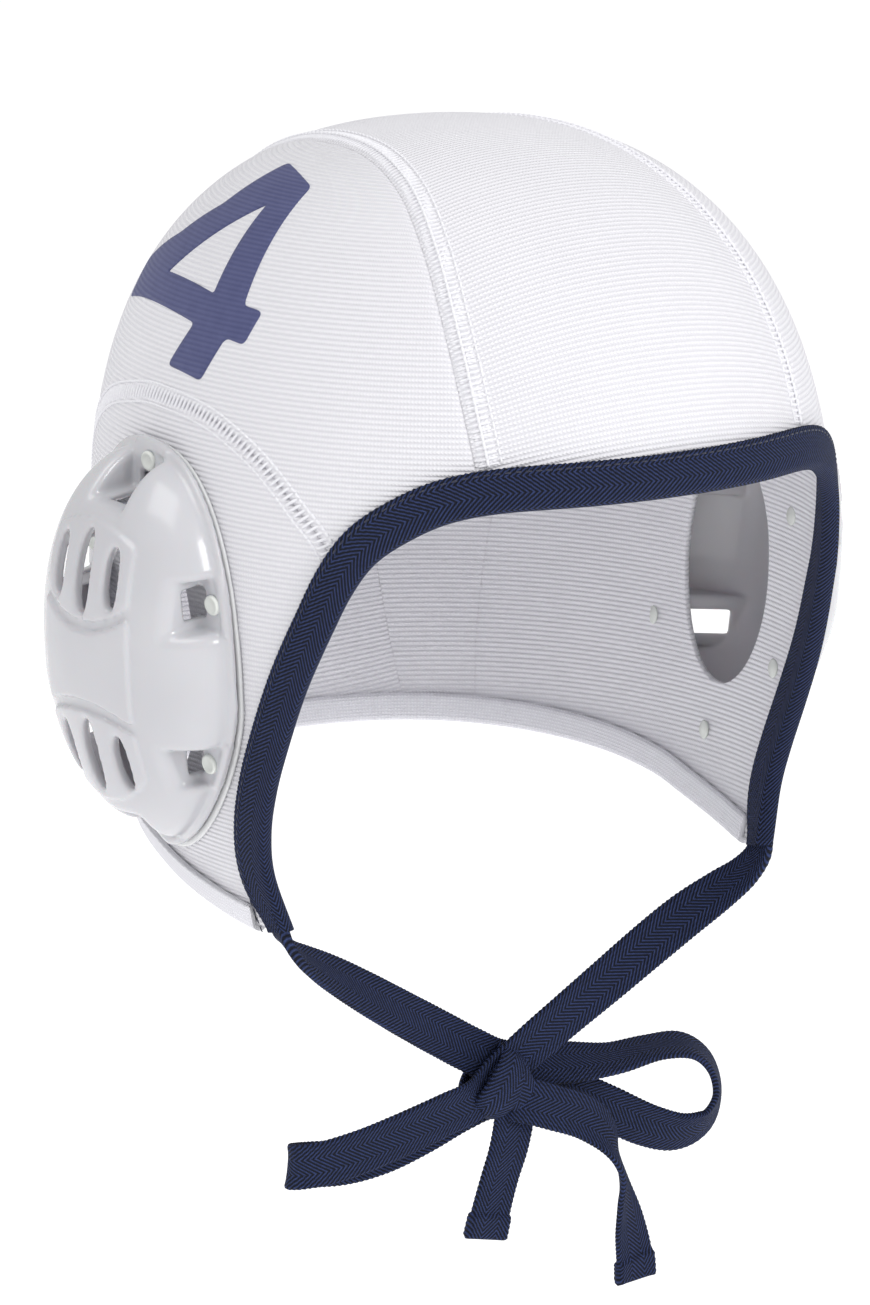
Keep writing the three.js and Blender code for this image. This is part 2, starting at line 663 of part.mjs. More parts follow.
// A pocket's block grown by some margin: from its inner wall out past the dome
function pocketBlock({ rivet, across: [axis, side], half, depth }, grow, from, to) {
  const inner = rivet[axis] - side * (depth - RIVET_HEAD / 2 + grow);
  const outer = rivet[axis] + side * GUARD_WIDTH;
  const run = [Math.min(inner, outer), Math.max(inner, outer)];
  const cross = [rivet[1 - axis] - half - grow, rivet[1 - axis] + half + grow];
  const spans = axis === 0 ? [run, cross] : [cross, run];
  return guardBlock(...spans, [from, to]);
}

// The opening between a pocket's rivet seat and its inner wall, and on under the dome
function windowBlock({ rivet, across: [axis, side], half, depth, windowTop }) {
  const near = rivet[axis] - side * (RIVET_HEAD / 2 + 0.4);
  const inner = rivet[axis] - side * (depth - RIVET_HEAD / 2 + WINDOW_DEPTH);
  const run = [Math.min(inner, near), Math.max(inner, near)];
  const cross = [rivet[1 - axis] - half * 0.62, rivet[1 - axis] + half * 0.62];
  const spans = axis === 0 ? [run, cross] : [cross, run];
  return guardBlock(...spans, [-GUARD_DEPTH / 2, GUARD_DEPTH * windowTop]);
}

const rivetSeat = ([w, v]) => seatHeight(w, v, SEAT_LEVEL) + GUARD_RIM;

// Square holes for the rivets' shanks, through the guard's rim and the cloth
const shankHoles = () => pockets().map(({ rivet: [w, v] }) => {
  const half = RIVET_SHANK / 2 + RIVET_CLEARANCE;
  const seat = rivetSeat([w, v]);
  return guardBlock([w - half, w + half], [v - half, v + half], [seat - 4 * CLOTH, seat + GUARD_RIM]);
});

const union = (solids) => solids.reduce((all, next) => all.add(next));

// The guard's shell: a dome on a flat rim, pocketed at each rivet and vented in its face
function guardShell() {
  const face = GUARD_DEPTH;
  const open = pockets().map((pocket) => pocketBlock(pocket, 0, rivetSeat(pocket.rivet), 2 * face));
  const walls = pockets().map((pocket) => pocketBlock(pocket, POCKET_WALL, -face, 2 * face));
  const raised = domeSolid(GUARD_FLANGE - FACE_RELIEF / 2, face + FACE_RELIEF, 0, GUARD_RIM);
  const panels = FACE_PANELS.rows.map((row) => guardPrism(panelOutline(row), face / 2, 2 * face));
  const outer = domeSolid(GUARD_FLANGE, face, 0, GUARD_RIM)
    .add(raised.intersect(union(panels)))
    .subtract(union(open));
  const inner = domeSolid(GUARD_FLANGE + GUARD_WALL, face - GUARD_WALL, GUARD_WALL, 0)
    .subtract(union(walls));
  const vents = VENTS.rows.map((row) => guardPrism(ventOutline(row), 0, 2 * face));
  const windows = pockets().map(windowBlock);
  return toGeometry(outer.subtract(inner).subtract(union([...vents, ...windows, ...shankHoles()])));
}

// Outline of the ear hole in the guard's frame
function earHole(angle, grow = 0) {
  return [
    (EAR_HOLE_WIDTH / 2 + grow) * Math.cos(angle),
    (EAR_HOLE_HEIGHT / 2 + grow) * Math.sin(angle),
  ];
}

// The thin clear ring that lies between the guard's rim and the cloth
function seatRing() {
  const round = FACETS.guardRound;
  const out = CLOTH + SEAT_GAP;
  const ring = (thickness) => [RING_WIDTH, -RING_LIP].map((inset) => (
    Array.from({ length: round }, (_, j) => {
      const egg = eggPoint(((j + 0.5) / round) * 2 * Math.PI, inset);
      const v = egg.v - RING_DROP;
      return guardPoint(egg.w, v, seatHeight(egg.w, v, out) + thickness);
    })
  ));
  return wallBetween(ring(RING_THICKNESS), ring(0), true);
}

// The ear flap: a ring of cloth from the ear hole out to the seam and the cut edges
function earFlap() {
  const arch = seamShares().map((s) => stepAside(archPoint, s, SEAM_GAP / 2));
  const nape = range(FACETS.flapNape).map((s) => napeEdge(THREE.MathUtils.lerp(archBack, 0, s)));
  const face = range(FACETS.flapFace).map((s) => faceEdge(THREE.MathUtils.lerp(1, archFront, s)));
  nape[0].copy(arch[arch.length - 1]);
  face[face.length - 1].copy(arch[0]);
  const outline = [...arch, ...nape.slice(1), ...face.slice(1, -1)];
  const hole = outline.map((p) => {
    const from = p.clone().sub(guardBasis.seat);
    const angle = Math.atan2(
      from.dot(guardBasis.v) / EAR_HOLE_HEIGHT, from.dot(guardBasis.w) / EAR_HOLE_WIDTH,
    );
    const [w, v] = earHole(angle);
    return guardPoint(w, v, seatHeight(w, v, CLOTH / 2));
  });
  const grid = range(FACETS.flapRings).map((t) => outline.map((p, i) => (
    onHead(hole[i].clone().lerp(p, t), CLOTH / 2)
  )));
  const solid = toSolid(panel(grid, true));
  return toGeometry(solid.subtract(union(shankHoles())));
}

// A rivet: a low domed head on the rim, a shank, and a flat head inside the cloth
function rivet(place) {
  const top = rivetSeat(place);
  const r = RIVET_HEAD / 2;
  const round = [[0, 0], [r, 0], [-r, 0], [0, r], [0, -r]];
  const lowest = Math.min(...round.map(([w, v]) => seatHeight(place[0] + w, place[1] + v, 0)));
  const inside = lowest - 1.5 * SEAT_GAP;
  const rest = top + SEAT_GAP / 2;
  const profile = [
    [0, rest + RIVET_RISE], [r, rest + RIVET_RISE * 0.4], [r, rest], [RIVET_SHANK / 2, rest],
    [RIVET_SHANK / 2, inside], [r, inside], [0, inside - RIVET_RISE * 0.6],
  ];
  const lathe = new THREE.LatheGeometry(
    profile.reverse().map(([x, y]) => new THREE.Vector2(x, y)), FACETS.rivet,
  );
  return tidied(intoGuard(lathe.rotateX(Math.PI / 2).translate(place[0], place[1], 0)));
}

// Tape folded round a cut edge: a U in the plane across the edge, its legs along the cloth
function foldedTape(curve, shares, width) {
  const inside = -TAPE_GAP - TAPE;
  const outside = CLOTH + TAPE_GAP + TAPE;
  const fold = -TAPE_GAP - TAPE;
  const section = [
    [fold, outside], [width + fold, outside], [width + fold, outside - TAPE],
    [-TAPE_GAP, outside - TAPE], [-TAPE_GAP, inside + TAPE],
    [width + fold, inside + TAPE], [width + fold, inside], [fold, inside],
  ];
  const rings = shares.map((share) => section.map(([across, out]) => (
    onHead(stepAside(curve, share, across), out)
  )));
  return loft(rings, [[0, 1, 2], [0, 2, 3], [0, 3, 4], [0, 4, 7], [4, 5, 6], [4, 6, 7]]);
}

// Both cut edges as curves across the wearer, share 0 on the right and 1 on the left
const acrossWearer = (edge, end) => (share) => {
  const p = edge(THREE.MathUtils.lerp(end, 1 - end, Math.abs(1 - 2 * share)));
  return share < 0.5 ? p : vec(-p.x, p.y, p.z);
};

// Shares of such a curve at the panels' own facets, so that the tape's facets match them.
// edge holds the edge's shares at its middle, where the tape starts, and at the flap's tip
function edgeStations(edge, atX, seamX, seamShare, archShare) {
  const half = [
    ...range(edge.flapSteps).map((t) => THREE.MathUtils.lerp(edge.tip, archShare, t)),
    ...range(FACETS.sideDown).slice(1).map((t) => THREE.MathUtils.lerp(archShare, seamShare, t)),
    ...range(FACETS.centreAcross).slice(1).filter((t) => t < 0.5).map((t) => atX((1 - 2 * t) * seamX)),
  ].map((share) => Math.abs(share - edge.middle) / 2);
  const reach = Math.abs(edge.start - edge.middle) / 2;
  const right = [reach, ...half.filter((distance) => distance < reach)].map((distance) => 0.5 - distance);
  return [...right, ...right.map((share) => 1 - share).reverse()];
}

function edgeBinding() {
  const edge = { middle: 0, start: 1, tip: 1, flapSteps: FACETS.flapFace };
  const stations = edgeStations(edge, faceShareAt, -faceEdge(seamFront).x, seamFront, archFront);
  return foldedTape(acrossWearer(faceEdge, 0), stations, BINDING_WIDTH);
}

// The nape hem starts where the binding's width ends
function napeHem() {
  const clear = BINDING_WIDTH + TAPE_GAP;
  const start = solveRising((s) => napeEdge(s).distanceTo(napeEdge(0)), clear, 0, 0.3);
  const edge = { middle: 1, start, tip: 0, flapSteps: FACETS.flapNape };
  const stations = edgeStations(edge, napeShareAt, -napeEdge(seamBack).x, seamBack, archBack);
  return foldedTape((share) => acrossWearer(napeEdge, 1)(1 - share), stations, HEM_WIDTH);
}

// A flat tape along a route of points with a roll
function tapeAlong(route, width, folded) {
  const curve = new THREE.CatmullRomCurve3(route.map(([x, y, z]) => vec(x, y, z)));
  const steps = Math.round(curve.getLength() / FACETS.tieStep);
  const endShare = TIE_END / curve.getLength();
  const plain = range(steps).filter((t) => !folded || t < 1 - endShare - 0.5 / steps);
  const shares = folded ? [...plain, 1 - endShare - 0.01, 1 - endShare, 1] : plain;
  const rings = shares.map((share) => {
    const at = Math.min(share * (route.length - 1), route.length - 1.0001);
    const i = Math.floor(at);
    const roll = THREE.MathUtils.degToRad(THREE.MathUtils.lerp(route[i][3], route[i + 1][3], at - i));
    const run = curve.getTangent(share);
    const depthwise = vec(0, 1, 0).addScaledVector(run, -run.y).normalize();
    const across = run.clone().cross(depthwise);
    const wide = depthwise.clone().multiplyScalar(Math.cos(roll)).addScaledVector(across, Math.sin(roll));
    const thick = run.clone().cross(wide);
    const end = folded && share > 1 - endShare - 0.005;
    const halfWide = width / 2;
    const halfThick = (end ? TIE_END_THICKNESS : TIE_THICKNESS) / 2;
    return [[1, 1], [-1, 1], [-1, -1], [1, -1]].map(([a, b]) => curve.getPoint(share)
      .addScaledVector(wide, a * halfWide)
      .addScaledVector(thick, b * halfThick));
  });
  return loft(rings, [[0, 1, 2], [0, 2, 3]]);
}

// The knot's lump, grown by some margin
function knotLump(grow) {
  const [round, rise] = FACETS.knot;
  const profile = range(rise).map((t) => {
    const angle = (t - 0.5) * Math.PI;
    return new THREE.Vector2(signedPower(Math.cos(angle), 0.75), signedPower(Math.sin(angle), 0.75));
  });
  profile[0].x = 0;
  profile[rise].x = 0;
  const lump = new THREE.LatheGeometry(profile, round);
  lump.scale(KNOT.x / 2 + grow, KNOT.y / 2 + grow, KNOT.z / 2 + grow);
  lump.rotateX(Math.PI / 2);
  lump.scale(1, KNOT.y / KNOT.z, KNOT.z / KNOT.y);
  return tidied(lump.translate(...KNOT_CENTRE.toArray()));
}

// A stretch of tie, cut off where it enters the knot, with only its free part kept
function tiePiece(route, folded = false) {
  const parts = toSolid(tapeAlong(route, TIE_WIDTH, folded))
    .subtract(toSolid(knotLump(KNOT_GAP))).decompose();
  return toGeometry(parts.sort((a, b) => b.volume() - a.volume())[0]);
}

// Finishes
const finish = (color, roughness) => new THREE.MeshStandardMaterial({ color, roughness, metalness: 0 });
const MATERIALS = {
  whiteFabric: finish(0xe9e8ee, 0.9),
  navyTape: finish(0x232b47, 0.85),
  guardPlastic: finish(0xe4e4e8, 0.25),
  rivetPlastic: finish(0xe6ebe6, 0.35),
  clearRing: finish(0xdfe2e0, 0.3),
};

const cap = new THREE.Group();
function add(name, geometry, material) {
  const mesh = new THREE.Mesh(geometry, material);
  mesh.name = name;
  cap.add(mesh);
}
function addPair(name, geometry, material) {
  add(`${name}_right`, geometry, material);
  add(`${name}_left`, mirrored(geometry), material);
}

add('crown_panel', centrePanel(), MATERIALS.whiteFabric);
addPair('side_panel', sidePanel(), MATERIALS.whiteFabric);
addPair('ear_flap', earFlap(), MATERIALS.whiteFabric);
add('edge_binding', edgeBinding(), MATERIALS.navyTape);
add('nape_hem', napeHem(), MATERIALS.whiteFabric);
addPair('ear_guard', guardShell(), MATERIALS.guardPlastic);
addPair('seat_ring', seatRing(), MATERIALS.clearRing);
const RIVET_PLACES = ['front_upper', 'back_upper', 'front_lower', 'back_lower', 'top', 'bottom'];
pockets().forEach(({ rivet: place }, i) => {
  addPair(`rivet_${RIVET_PLACES[i]}`, rivet(place), MATERIALS.rivetPlastic);
});
add('tie_strap_right', tiePiece(RIGHT_STRAP_ROUTE), MATERIALS.navyTape);
add('tie_strap_left', tiePiece(LEFT_STRAP_ROUTE), MATERIALS.navyTape);
add('bow_loop_right', tiePiece(RIGHT_LOOP_ROUTE), MATERIALS.navyTape);
add('bow_loop_left', tiePiece(LEFT_LOOP_ROUTE), MATERIALS.navyTape);
add('tie_tail_short', tiePiece(SHORT_TAIL_ROUTE, true), MATERIALS.navyTape);
add('tie_tail_long', tiePiece(LONG_TAIL_ROUTE, true), MATERIALS.navyTape);
add('tie_knot', knotLump(0), MATERIALS.navyTape);

export default cap;
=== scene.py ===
# %% [markdown]
# # A water polo cap
# The real cap is three panels of ribbed stretch knit, two ear flaps, a navy tape sewn round the
# face, and a plastic guard riveted over each ear. The tape runs on into two ties with a bow.
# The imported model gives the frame: every piece here is made in its metres, at its own place.

# %% Load the frame
from math import cos, pi, radians, sin

import bpy
import numpy as np
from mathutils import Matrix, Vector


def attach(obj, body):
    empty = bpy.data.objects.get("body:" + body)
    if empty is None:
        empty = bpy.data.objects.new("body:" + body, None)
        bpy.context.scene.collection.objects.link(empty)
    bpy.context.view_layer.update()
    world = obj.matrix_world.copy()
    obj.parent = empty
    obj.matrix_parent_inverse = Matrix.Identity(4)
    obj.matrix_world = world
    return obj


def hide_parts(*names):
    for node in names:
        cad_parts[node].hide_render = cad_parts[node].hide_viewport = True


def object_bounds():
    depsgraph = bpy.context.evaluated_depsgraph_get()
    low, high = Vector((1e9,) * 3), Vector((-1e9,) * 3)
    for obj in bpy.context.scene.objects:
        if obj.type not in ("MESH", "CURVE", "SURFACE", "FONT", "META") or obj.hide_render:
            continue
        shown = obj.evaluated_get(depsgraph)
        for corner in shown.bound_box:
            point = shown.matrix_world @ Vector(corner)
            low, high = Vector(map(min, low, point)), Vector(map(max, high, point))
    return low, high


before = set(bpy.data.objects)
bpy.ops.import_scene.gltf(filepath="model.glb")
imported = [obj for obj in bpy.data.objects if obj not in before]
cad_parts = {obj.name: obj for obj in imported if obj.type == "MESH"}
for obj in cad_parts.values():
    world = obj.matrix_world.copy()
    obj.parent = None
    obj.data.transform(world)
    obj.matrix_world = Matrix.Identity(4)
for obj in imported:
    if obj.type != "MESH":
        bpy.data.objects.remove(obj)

import openvdb
from mathutils import Matrix, Vector
from mathutils.geometry import delaunay_2d_cdt

MM = 0.001
cad_box = [list(corner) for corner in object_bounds()]
print("the solids' box in metres:", cad_box)

# %% [markdown]
# ## The camera
# A product photograph is taken from some way off with a long lens, so the cap is hardly
# foreshortened. The camera is set first.
# Its place comes from the cap's size in the picture: so many pixels for each millimetre.

# %% The camera
PHOTO_HEIGHT = 1305  # pixels
PIXELS_PER_MM = 4.399  # in the photograph, at the cap's distance
CAMERA_DISTANCE = 1400.0
CAMERA_AZIMUTH = radians(-31.0)
CAMERA_ELEVATION = radians(13.0)
CAMERA_ROLL = radians(1.2)
PICTURE_MIDDLE = Vector((0.0, 0.0, -108.6))
PICTURE_MIDDLE_RIGHT = -5.9
PICTURE_MIDDLE_UP = -11.9
SENSOR = 36.0


def view_axes(azimuth, elevation, roll):
    """The camera's right, up and backward directions."""
    back = Vector((sin(azimuth) * cos(elevation), -cos(azimuth) * cos(elevation), sin(elevation)))
    level = Vector((cos(azimuth), sin(azimuth), 0.0))
    upright = back.cross(level)
    right = level * cos(roll) - upright * sin(roll)
    up = upright * cos(roll) + level * sin(roll)
    return right, up, back


right, up, back = view_axes(CAMERA_AZIMUTH, CAMERA_ELEVATION, CAMERA_ROLL)
aim = PICTURE_MIDDLE + right * PICTURE_MIDDLE_RIGHT + up * PICTURE_MIDDLE_UP
camera_data = bpy.data.cameras.new("camera")
camera_data.sensor_width = SENSOR
camera_data.lens = PIXELS_PER_MM * CAMERA_DISTANCE / PHOTO_HEIGHT * SENSOR
camera_data.clip_end = 20.0
camera = bpy.data.objects.new("camera", camera_data)
camera.matrix_world = (
    Matrix.Translation((aim + back * CAMERA_DISTANCE) * MM)
    @ Matrix((right, up, back)).transposed().to_4x4()
)
bpy.context.scene.collection.objects.link(camera)
bpy.context.scene.camera = camera
print("the lens is", round(camera_data.lens, 1), "mm")

# %% [markdown]
# ## Meshes from points
# Most pieces here are sheets of points worked out with numpy. A sheet with a front and a back
# becomes one closed body when its borders are joined, and closed bodies shade and export well.
# The helpers also keep a UV map in metres, so that a weave has its real size on every piece.

# %% Meshes from points
def quad_grid(rows, columns, first=0, wrap=False):
    """Corner numbers of the quads between points that are counted row by row."""
    i = np.arange(rows - 1)[:, None] * columns
    j = np.arange(columns if wrap else columns - 1)[None, :]
    after = (j + 1) % columns
    corners = np.broadcast_arrays(i + j, i + columns + j, i + columns + after, i + after)
    return first + np.stack(corners, axis=-1).reshape(-1, 4)


def signed_volume(points, face_sets):
    total = 0.0
    for faces in face_sets:
        for k in range(1, faces.shape[1] - 1):
            a, b, c = points[faces[:, 0]], points[faces[:, k]], points[faces[:, k + 1]]
            total += np.einsum("ij,ij->", a, np.cross(b, c)) / 6
    return total


def mesh_object(name, points, face_sets, uv=None, closed=True):
    """An object from points in millimetres, with faces turned out and a UV in metres."""
    points = np.asarray(points, dtype=float).reshape(-1, 3)
    face_sets = [np.asarray(faces) for faces in face_sets]
    if closed and signed_volume(points, face_sets) < 0:
        face_sets = [faces[:, ::-1] for faces in face_sets]
    mesh = bpy.data.meshes.new(name)
    faces = [face for faces in face_sets for face in faces.tolist()]
    mesh.from_pydata((points * MM).tolist(), [], faces)
    if uv is not None:
        layer = mesh.uv_layers.new(name="weave")
        corner_points = np.empty(len(mesh.loops), dtype=np.int32)
        mesh.loops.foreach_get("vertex_index", corner_points)
        spread = np.asarray(uv).reshape(-1, 2)[corner_points]
        layer.data.foreach_set("uv", spread.astype(np.float32).ravel())
    mesh.polygons.foreach_set("use_smooth", [True] * len(mesh.polygons))
    mesh.validate()
    piece = bpy.data.objects.new(name, mesh)
    bpy.context.scene.collection.objects.link(piece)
    return piece


def wall_object(name, outer, inner, uv, wrap=False):
    """A closed wall between two grids of points, which may wrap round along their columns."""
    rows, columns = outer.shape[:2]
    count = rows * columns
    ring = np.arange(columns if wrap else columns - 1)
    after = (ring + 1) % columns
    rim = np.stack([ring, after, after + count, ring + count], axis=1)
    faces = [
        quad_grid(rows, columns, wrap=wrap),
        quad_grid(rows, columns, first=count, wrap=wrap)[:, ::-1],
        rim,
        rim[:, ::-1] + (rows - 1) * columns,
    ]
    if not wrap:
        run = np.arange(rows - 1) * columns
        side = np.stack([run, run + count, run + columns + count, run + columns], axis=1)
        faces += [side, side[:, ::-1] + columns - 1]
    points = np.concatenate([outer.reshape(-1, 3), inner.reshape(-1, 3)])
    return mesh_object(name, points, faces, np.concatenate([uv.reshape(-1, 2)] * 2))


def loft_object(name, rings, uv):
    """Closed rings of points joined one to the next, with a fan over each end."""
    count, around = rings.shape[:2]
    middle = count * around
    j = np.arange(around)
    k = (j + 1) % around
    last = (count - 1) * around
    fans = [
        np.stack([k, j, np.full(around, middle)], axis=1),
        np.stack([last + j, last + k, np.full(around, middle + 1)], axis=1),
    ]
    points = np.concatenate([rings.reshape(-1, 3), [rings[0].mean(axis=0), rings[-1].mean(axis=0)]])
    spread = np.concatenate([uv.reshape(-1, 2), [uv[0].mean(axis=0), uv[-1].mean(axis=0)]])
    side = quad_grid(count, around, wrap=True)
    return mesh_object(name, points, [side, fans[0][:, ::-1], fans[1][:, ::-1]], spread)


def lengths_along(points):
    steps = np.linalg.norm(np.diff(points, axis=0), axis=-1)
    return np.concatenate([[0.0], np.cumsum(steps)])


def unit(vectors):
    return vectors / np.linalg.norm(vectors, axis=-1, keepdims=True)


# %% [markdown]
# ## The ties
# Each tie is one flat tape of its own real length. The wearer's right tie comes down from the
# flap, goes through the knot, out as the left loop, back, and down as the short tail. The left
# tie does the same the other way and ends as the long tail. A flat tape could be a curve with a
# tilt at each point. It is lofted here instead, because its roll is then told from one fixed
# direction, front to back, and doesn't drift along the route.

# %% The ties' routes
# Each row is a point on the tape's middle, and its roll in degrees: with 0 its width runs from
# front to back, and with 90 its face looks forward
RIGHT_TIE_ROUTE = [
    (-65.5, -25.0, -164.7, 8), (-64.5, -25.6, -168.4, 8), (-63.1, -25.9, -172.6, 12),
    (-59.6, -24.9, -176.6, 24), (-54.4, -22.8, -180.3, 38), (-46.0, -19.9, -185.6, 52),
    (-36.5, -17.3, -191.8, 64), (-26.5, -15.0, -198.4, 74),
    (-16.0, -12.6, -205.2, 84), (-6.5, -11.2, -211.3, 88), (1.0, -11.4, -215.4, 84),
    (10.0, -12.0, -217.0, 70), (20.0, -12.4, -218.4, 48), (31.0, -13.0, -219.2, 24),
    (42.0, -13.0, -218.6, 14), (51.5, -13.1, -219.8, 22), (57.6, -13.2, -225.0, 30),
    (59.6, -13.2, -232.6, 38), (56.4, -13.1, -239.0, 54), (49.0, -13.0, -240.4, 66),
    (40.0, -12.6, -237.2, 76), (30.0, -11.8, -231.4, 84), (19.5, -10.8, -225.6, 88),
    (9.5, -9.8, -221.6, 90), (3.0, -10.4, -219.6, 90), (1.6, -13.4, -219.8, 90),
    (2.3, -15.2, -223.0, 90), (1.9, -15.8, -228.0, 90), (0.4, -15.6, -235.0, 88),
    (-1.4, -14.4, -242.0, 86), (-3.2, -13.6, -249.0, 88), (-4.9, -12.9, -256.6, 92),
]
LEFT_TIE_ROUTE = [
    (65.5, -25.0, -164.7, 172), (64.5, -25.6, -168.4, 172), (63.1, -25.9, -172.6, 168),
    (59.6, -24.9, -176.6, 156), (54.4, -23.1, -180.3, 142), (46.0, -20.9, -185.6, 128),
    (36.5, -19.4, -191.8, 116), (26.5, -18.2, -198.4, 106),
    (16.0, -17.0, -205.2, 96), (6.5, -16.2, -211.3, 92), (-1.5, -14.6, -217.6, 88),
    (-8.5, -15.8, -221.8, 86), (-18.0, -17.8, -223.2, 88), (-29.0, -18.9, -225.2, 90),
    (-40.0, -19.0, -227.3, 92), (-49.5, -17.8, -228.8, 92), (-54.4, -15.4, -229.5, 90),
    (-55.4, -12.6, -229.9, 90), (-53.6, -10.2, -230.6, 88), (-48.0, -8.6, -231.8, 84),
    (-38.5, -8.4, -232.9, 82), (-28.5, -9.0, -231.9, 84), (-18.5, -9.8, -229.0, 88),
    (-9.0, -10.6, -225.4, 90), (-2.5, -13.4, -222.8, 90), (3.0, -17.6, -223.3, 88),
    (10.5, -19.6, -226.0, 86), (18.5, -20.0, -229.6, 76), (25.0, -19.8, -235.4, 52),
    (28.6, -18.6, -243.0, 26), (31.0, -16.6, -251.0, 44), (33.4, -15.0, -259.5, 68),
    (35.2, -14.2, -268.0, 82), (35.6, -14.0, -274.0, 86),
]
TIE_WIDTH = 10.6
TIE_THICKNESS = 1.5
TIE_STEP = 0.4  # from one ring of points to the next
FOLDED_END = 6.0
UNFOLDS_OVER = 15.0  # it comes out of the binding folded, and then opens
TIP_TAPER = 0.42  # share by which the tape is narrower where it is gathered at the flap's tip
PICK_PITCH = 1.25  # from one turn of the weft at the tape's edge to the next
PICK_SWELL = 0.022  # share by which such a turn stands out
END_BLUR = 0.12  # length over which the folded end begins
END_ROUNDING = 0.9


def smooth_route(points, step):
    """Points at even steps on a smooth curve through the given ones, with all their columns."""
    points = np.asarray(points, dtype=float)
    slopes = np.gradient(points, axis=0)
    dense = []
    for i in range(len(points) - 1):
        t = np.linspace(0, 1, 40, endpoint=False)[:, None]
        dense.append(
            (2 * t**3 - 3 * t**2 + 1) * points[i] + (t**3 - 2 * t**2 + t) * slopes[i]
            + (3 * t**2 - 2 * t**3) * points[i + 1] + (t**3 - t**2) * slopes[i + 1]
        )
    dense = np.concatenate(dense + [points[-1:]])
    along = lengths_along(dense[:, :3])
    wanted = np.linspace(0, along[-1], int(round(along[-1] / step)) + 1)
    return np.stack([np.interp(wanted, along, column) for column in dense.T], axis=1), wanted


# Outline of the tape's section in shares of half its width and half its thickness. The
# selvedges at both sides are a little thicker than the middle
TAPE_SECTION = np.array([
    (-0.86, 1.1), (-0.6, 0.92), (-0.3, 0.88), (0, 0.9), (0.3, 0.88), (0.6, 0.92), (0.86, 1.1),
    (0.96, 0.8), (1.0, 0), (0.96, -0.8), (0.86, -1.1), (0.6, -0.92), (0.3, -0.88), (0, -0.9),
    (-0.3, -0.88), (-0.6, -0.92), (-0.86, -1.1), (-0.96, -0.8), (-1.0, 0), (-0.96, 0.8),
])


STEADY_OVER = 19  # rings that each direction is averaged over


def steady(wide, run):
    """The widths' directions without the flip that they make where the tape runs front to back."""
    turned = np.cumprod(np.where(np.einsum("ij,ij->i", wide[1:], wide[:-1]) < 0, -1.0, 1.0))
    wide[1:] *= turned[:, None]
    share = np.hanning(STEADY_OVER)[1:-1] / np.hanning(STEADY_OVER).sum()
    reach = len(share) // 2
    padded = np.pad(wide, ((reach, reach), (0, 0)), mode="edge")
    wide = np.stack([np.convolve(column, share, mode="valid") for column in padded.T], axis=1)
    return unit(wide - run * np.einsum("ij,ij->i", wide, run)[:, None])


def tape_piece(name, route):
    path, along = smooth_route(route, TIE_STEP)
    middle, roll = path[:, :3], np.radians(path[:, 3])
    run = unit(np.gradient(middle, axis=0))
    across = np.cross(run, [0.0, 1.0, 0.0])
    endwise = np.linalg.norm(across, axis=1, keepdims=True) < 0.5
    across = np.where(endwise, np.array([0.0, 0.0, 1.0]) - run * run[:, 2:3], across)
    across = unit(across)
    depthwise = np.cross(across, run)
    wide = depthwise * np.cos(roll)[:, None] + across * np.sin(roll)[:, None]
    wide = steady(wide, run)
    thick = np.cross(run, wide)
    from_end = along[-1] - along
    folded = 1 / (1 + np.exp(np.clip((from_end - FOLDED_END) / END_BLUR, -30, 30)))
    blunt = np.sqrt(np.clip(1 - (1 - np.clip(from_end / END_ROUNDING, 0, 1)) ** 2, 0.06, 1))
    picks = 1 + PICK_SWELL * np.sin(2 * pi * along / PICK_PITCH)
    doubled = np.exp(-((along / UNFOLDS_OVER) ** 2))
    width_share = picks * (1 + 0.05 * folded - TIP_TAPER * doubled) * (0.94 + 0.06 * blunt)
    half_width = TIE_WIDTH / 2 * width_share
    half_thickness = TIE_THICKNESS / 2 * (1 + 0.95 * folded + 0.6 * doubled) * blunt
    rings = (
        middle[:, None, :]
        + wide[:, None, :] * (half_width[:, None] * TAPE_SECTION[:, 0])[:, :, None]
        + thick[:, None, :] * (half_thickness[:, None] * TAPE_SECTION[:, 1])[:, :, None]
    )
    uv = np.empty(rings.shape[:2] + (2,))
    uv[..., 0] = along[:, None] * MM
    uv[..., 1] = TAPE_SECTION[:, 0] * TIE_WIDTH / 2 * MM
    return loft_object(name, rings, uv), middle, along[-1]


tie_right, right_path, right_length = tape_piece("tie_right", RIGHT_TIE_ROUTE)
tie_left, left_path, left_length = tape_piece("tie_left", LEFT_TIE_ROUTE)
print("the ties are", round(right_length), "and", round(left_length), "mm long")

# %% [markdown]
# ## The form of the head
# A worn cap takes the head's form, so every piece of cloth lies on one surface. Level sections
# of it are rounded boxes, and a table says how they narrow below the widest level. It has no
# simple formula for a point on the surface, so a ray is halved until it meets it.

# %% The form of the head
HEAD_BREADTH = 152.8
HEAD_LENGTH = 189.6
CROWN_DEPTH = 100.0  # top of the head down to its widest level
CLOTH = 1.4
FRONT_SHARE = 0.493
TOP_SHIFT = -0.0085
PLAN_POWER = 2.085
SIDE_POWER, FRONT_POWER, BACK_POWER = 2.505, 2.33, 2.45
NARROWING = np.array([  # down from the widest level, then shares of breadth, front and back
    (0, 1, 1, 1), (0.2, 0.985, 0.99, 0.975), (0.4, 0.95, 0.97, 0.92), (0.6, 0.895, 0.94, 0.84),
    (0.8, 0.825, 0.9, 0.75), (1, 0.745, 0.86, 0.67),
])


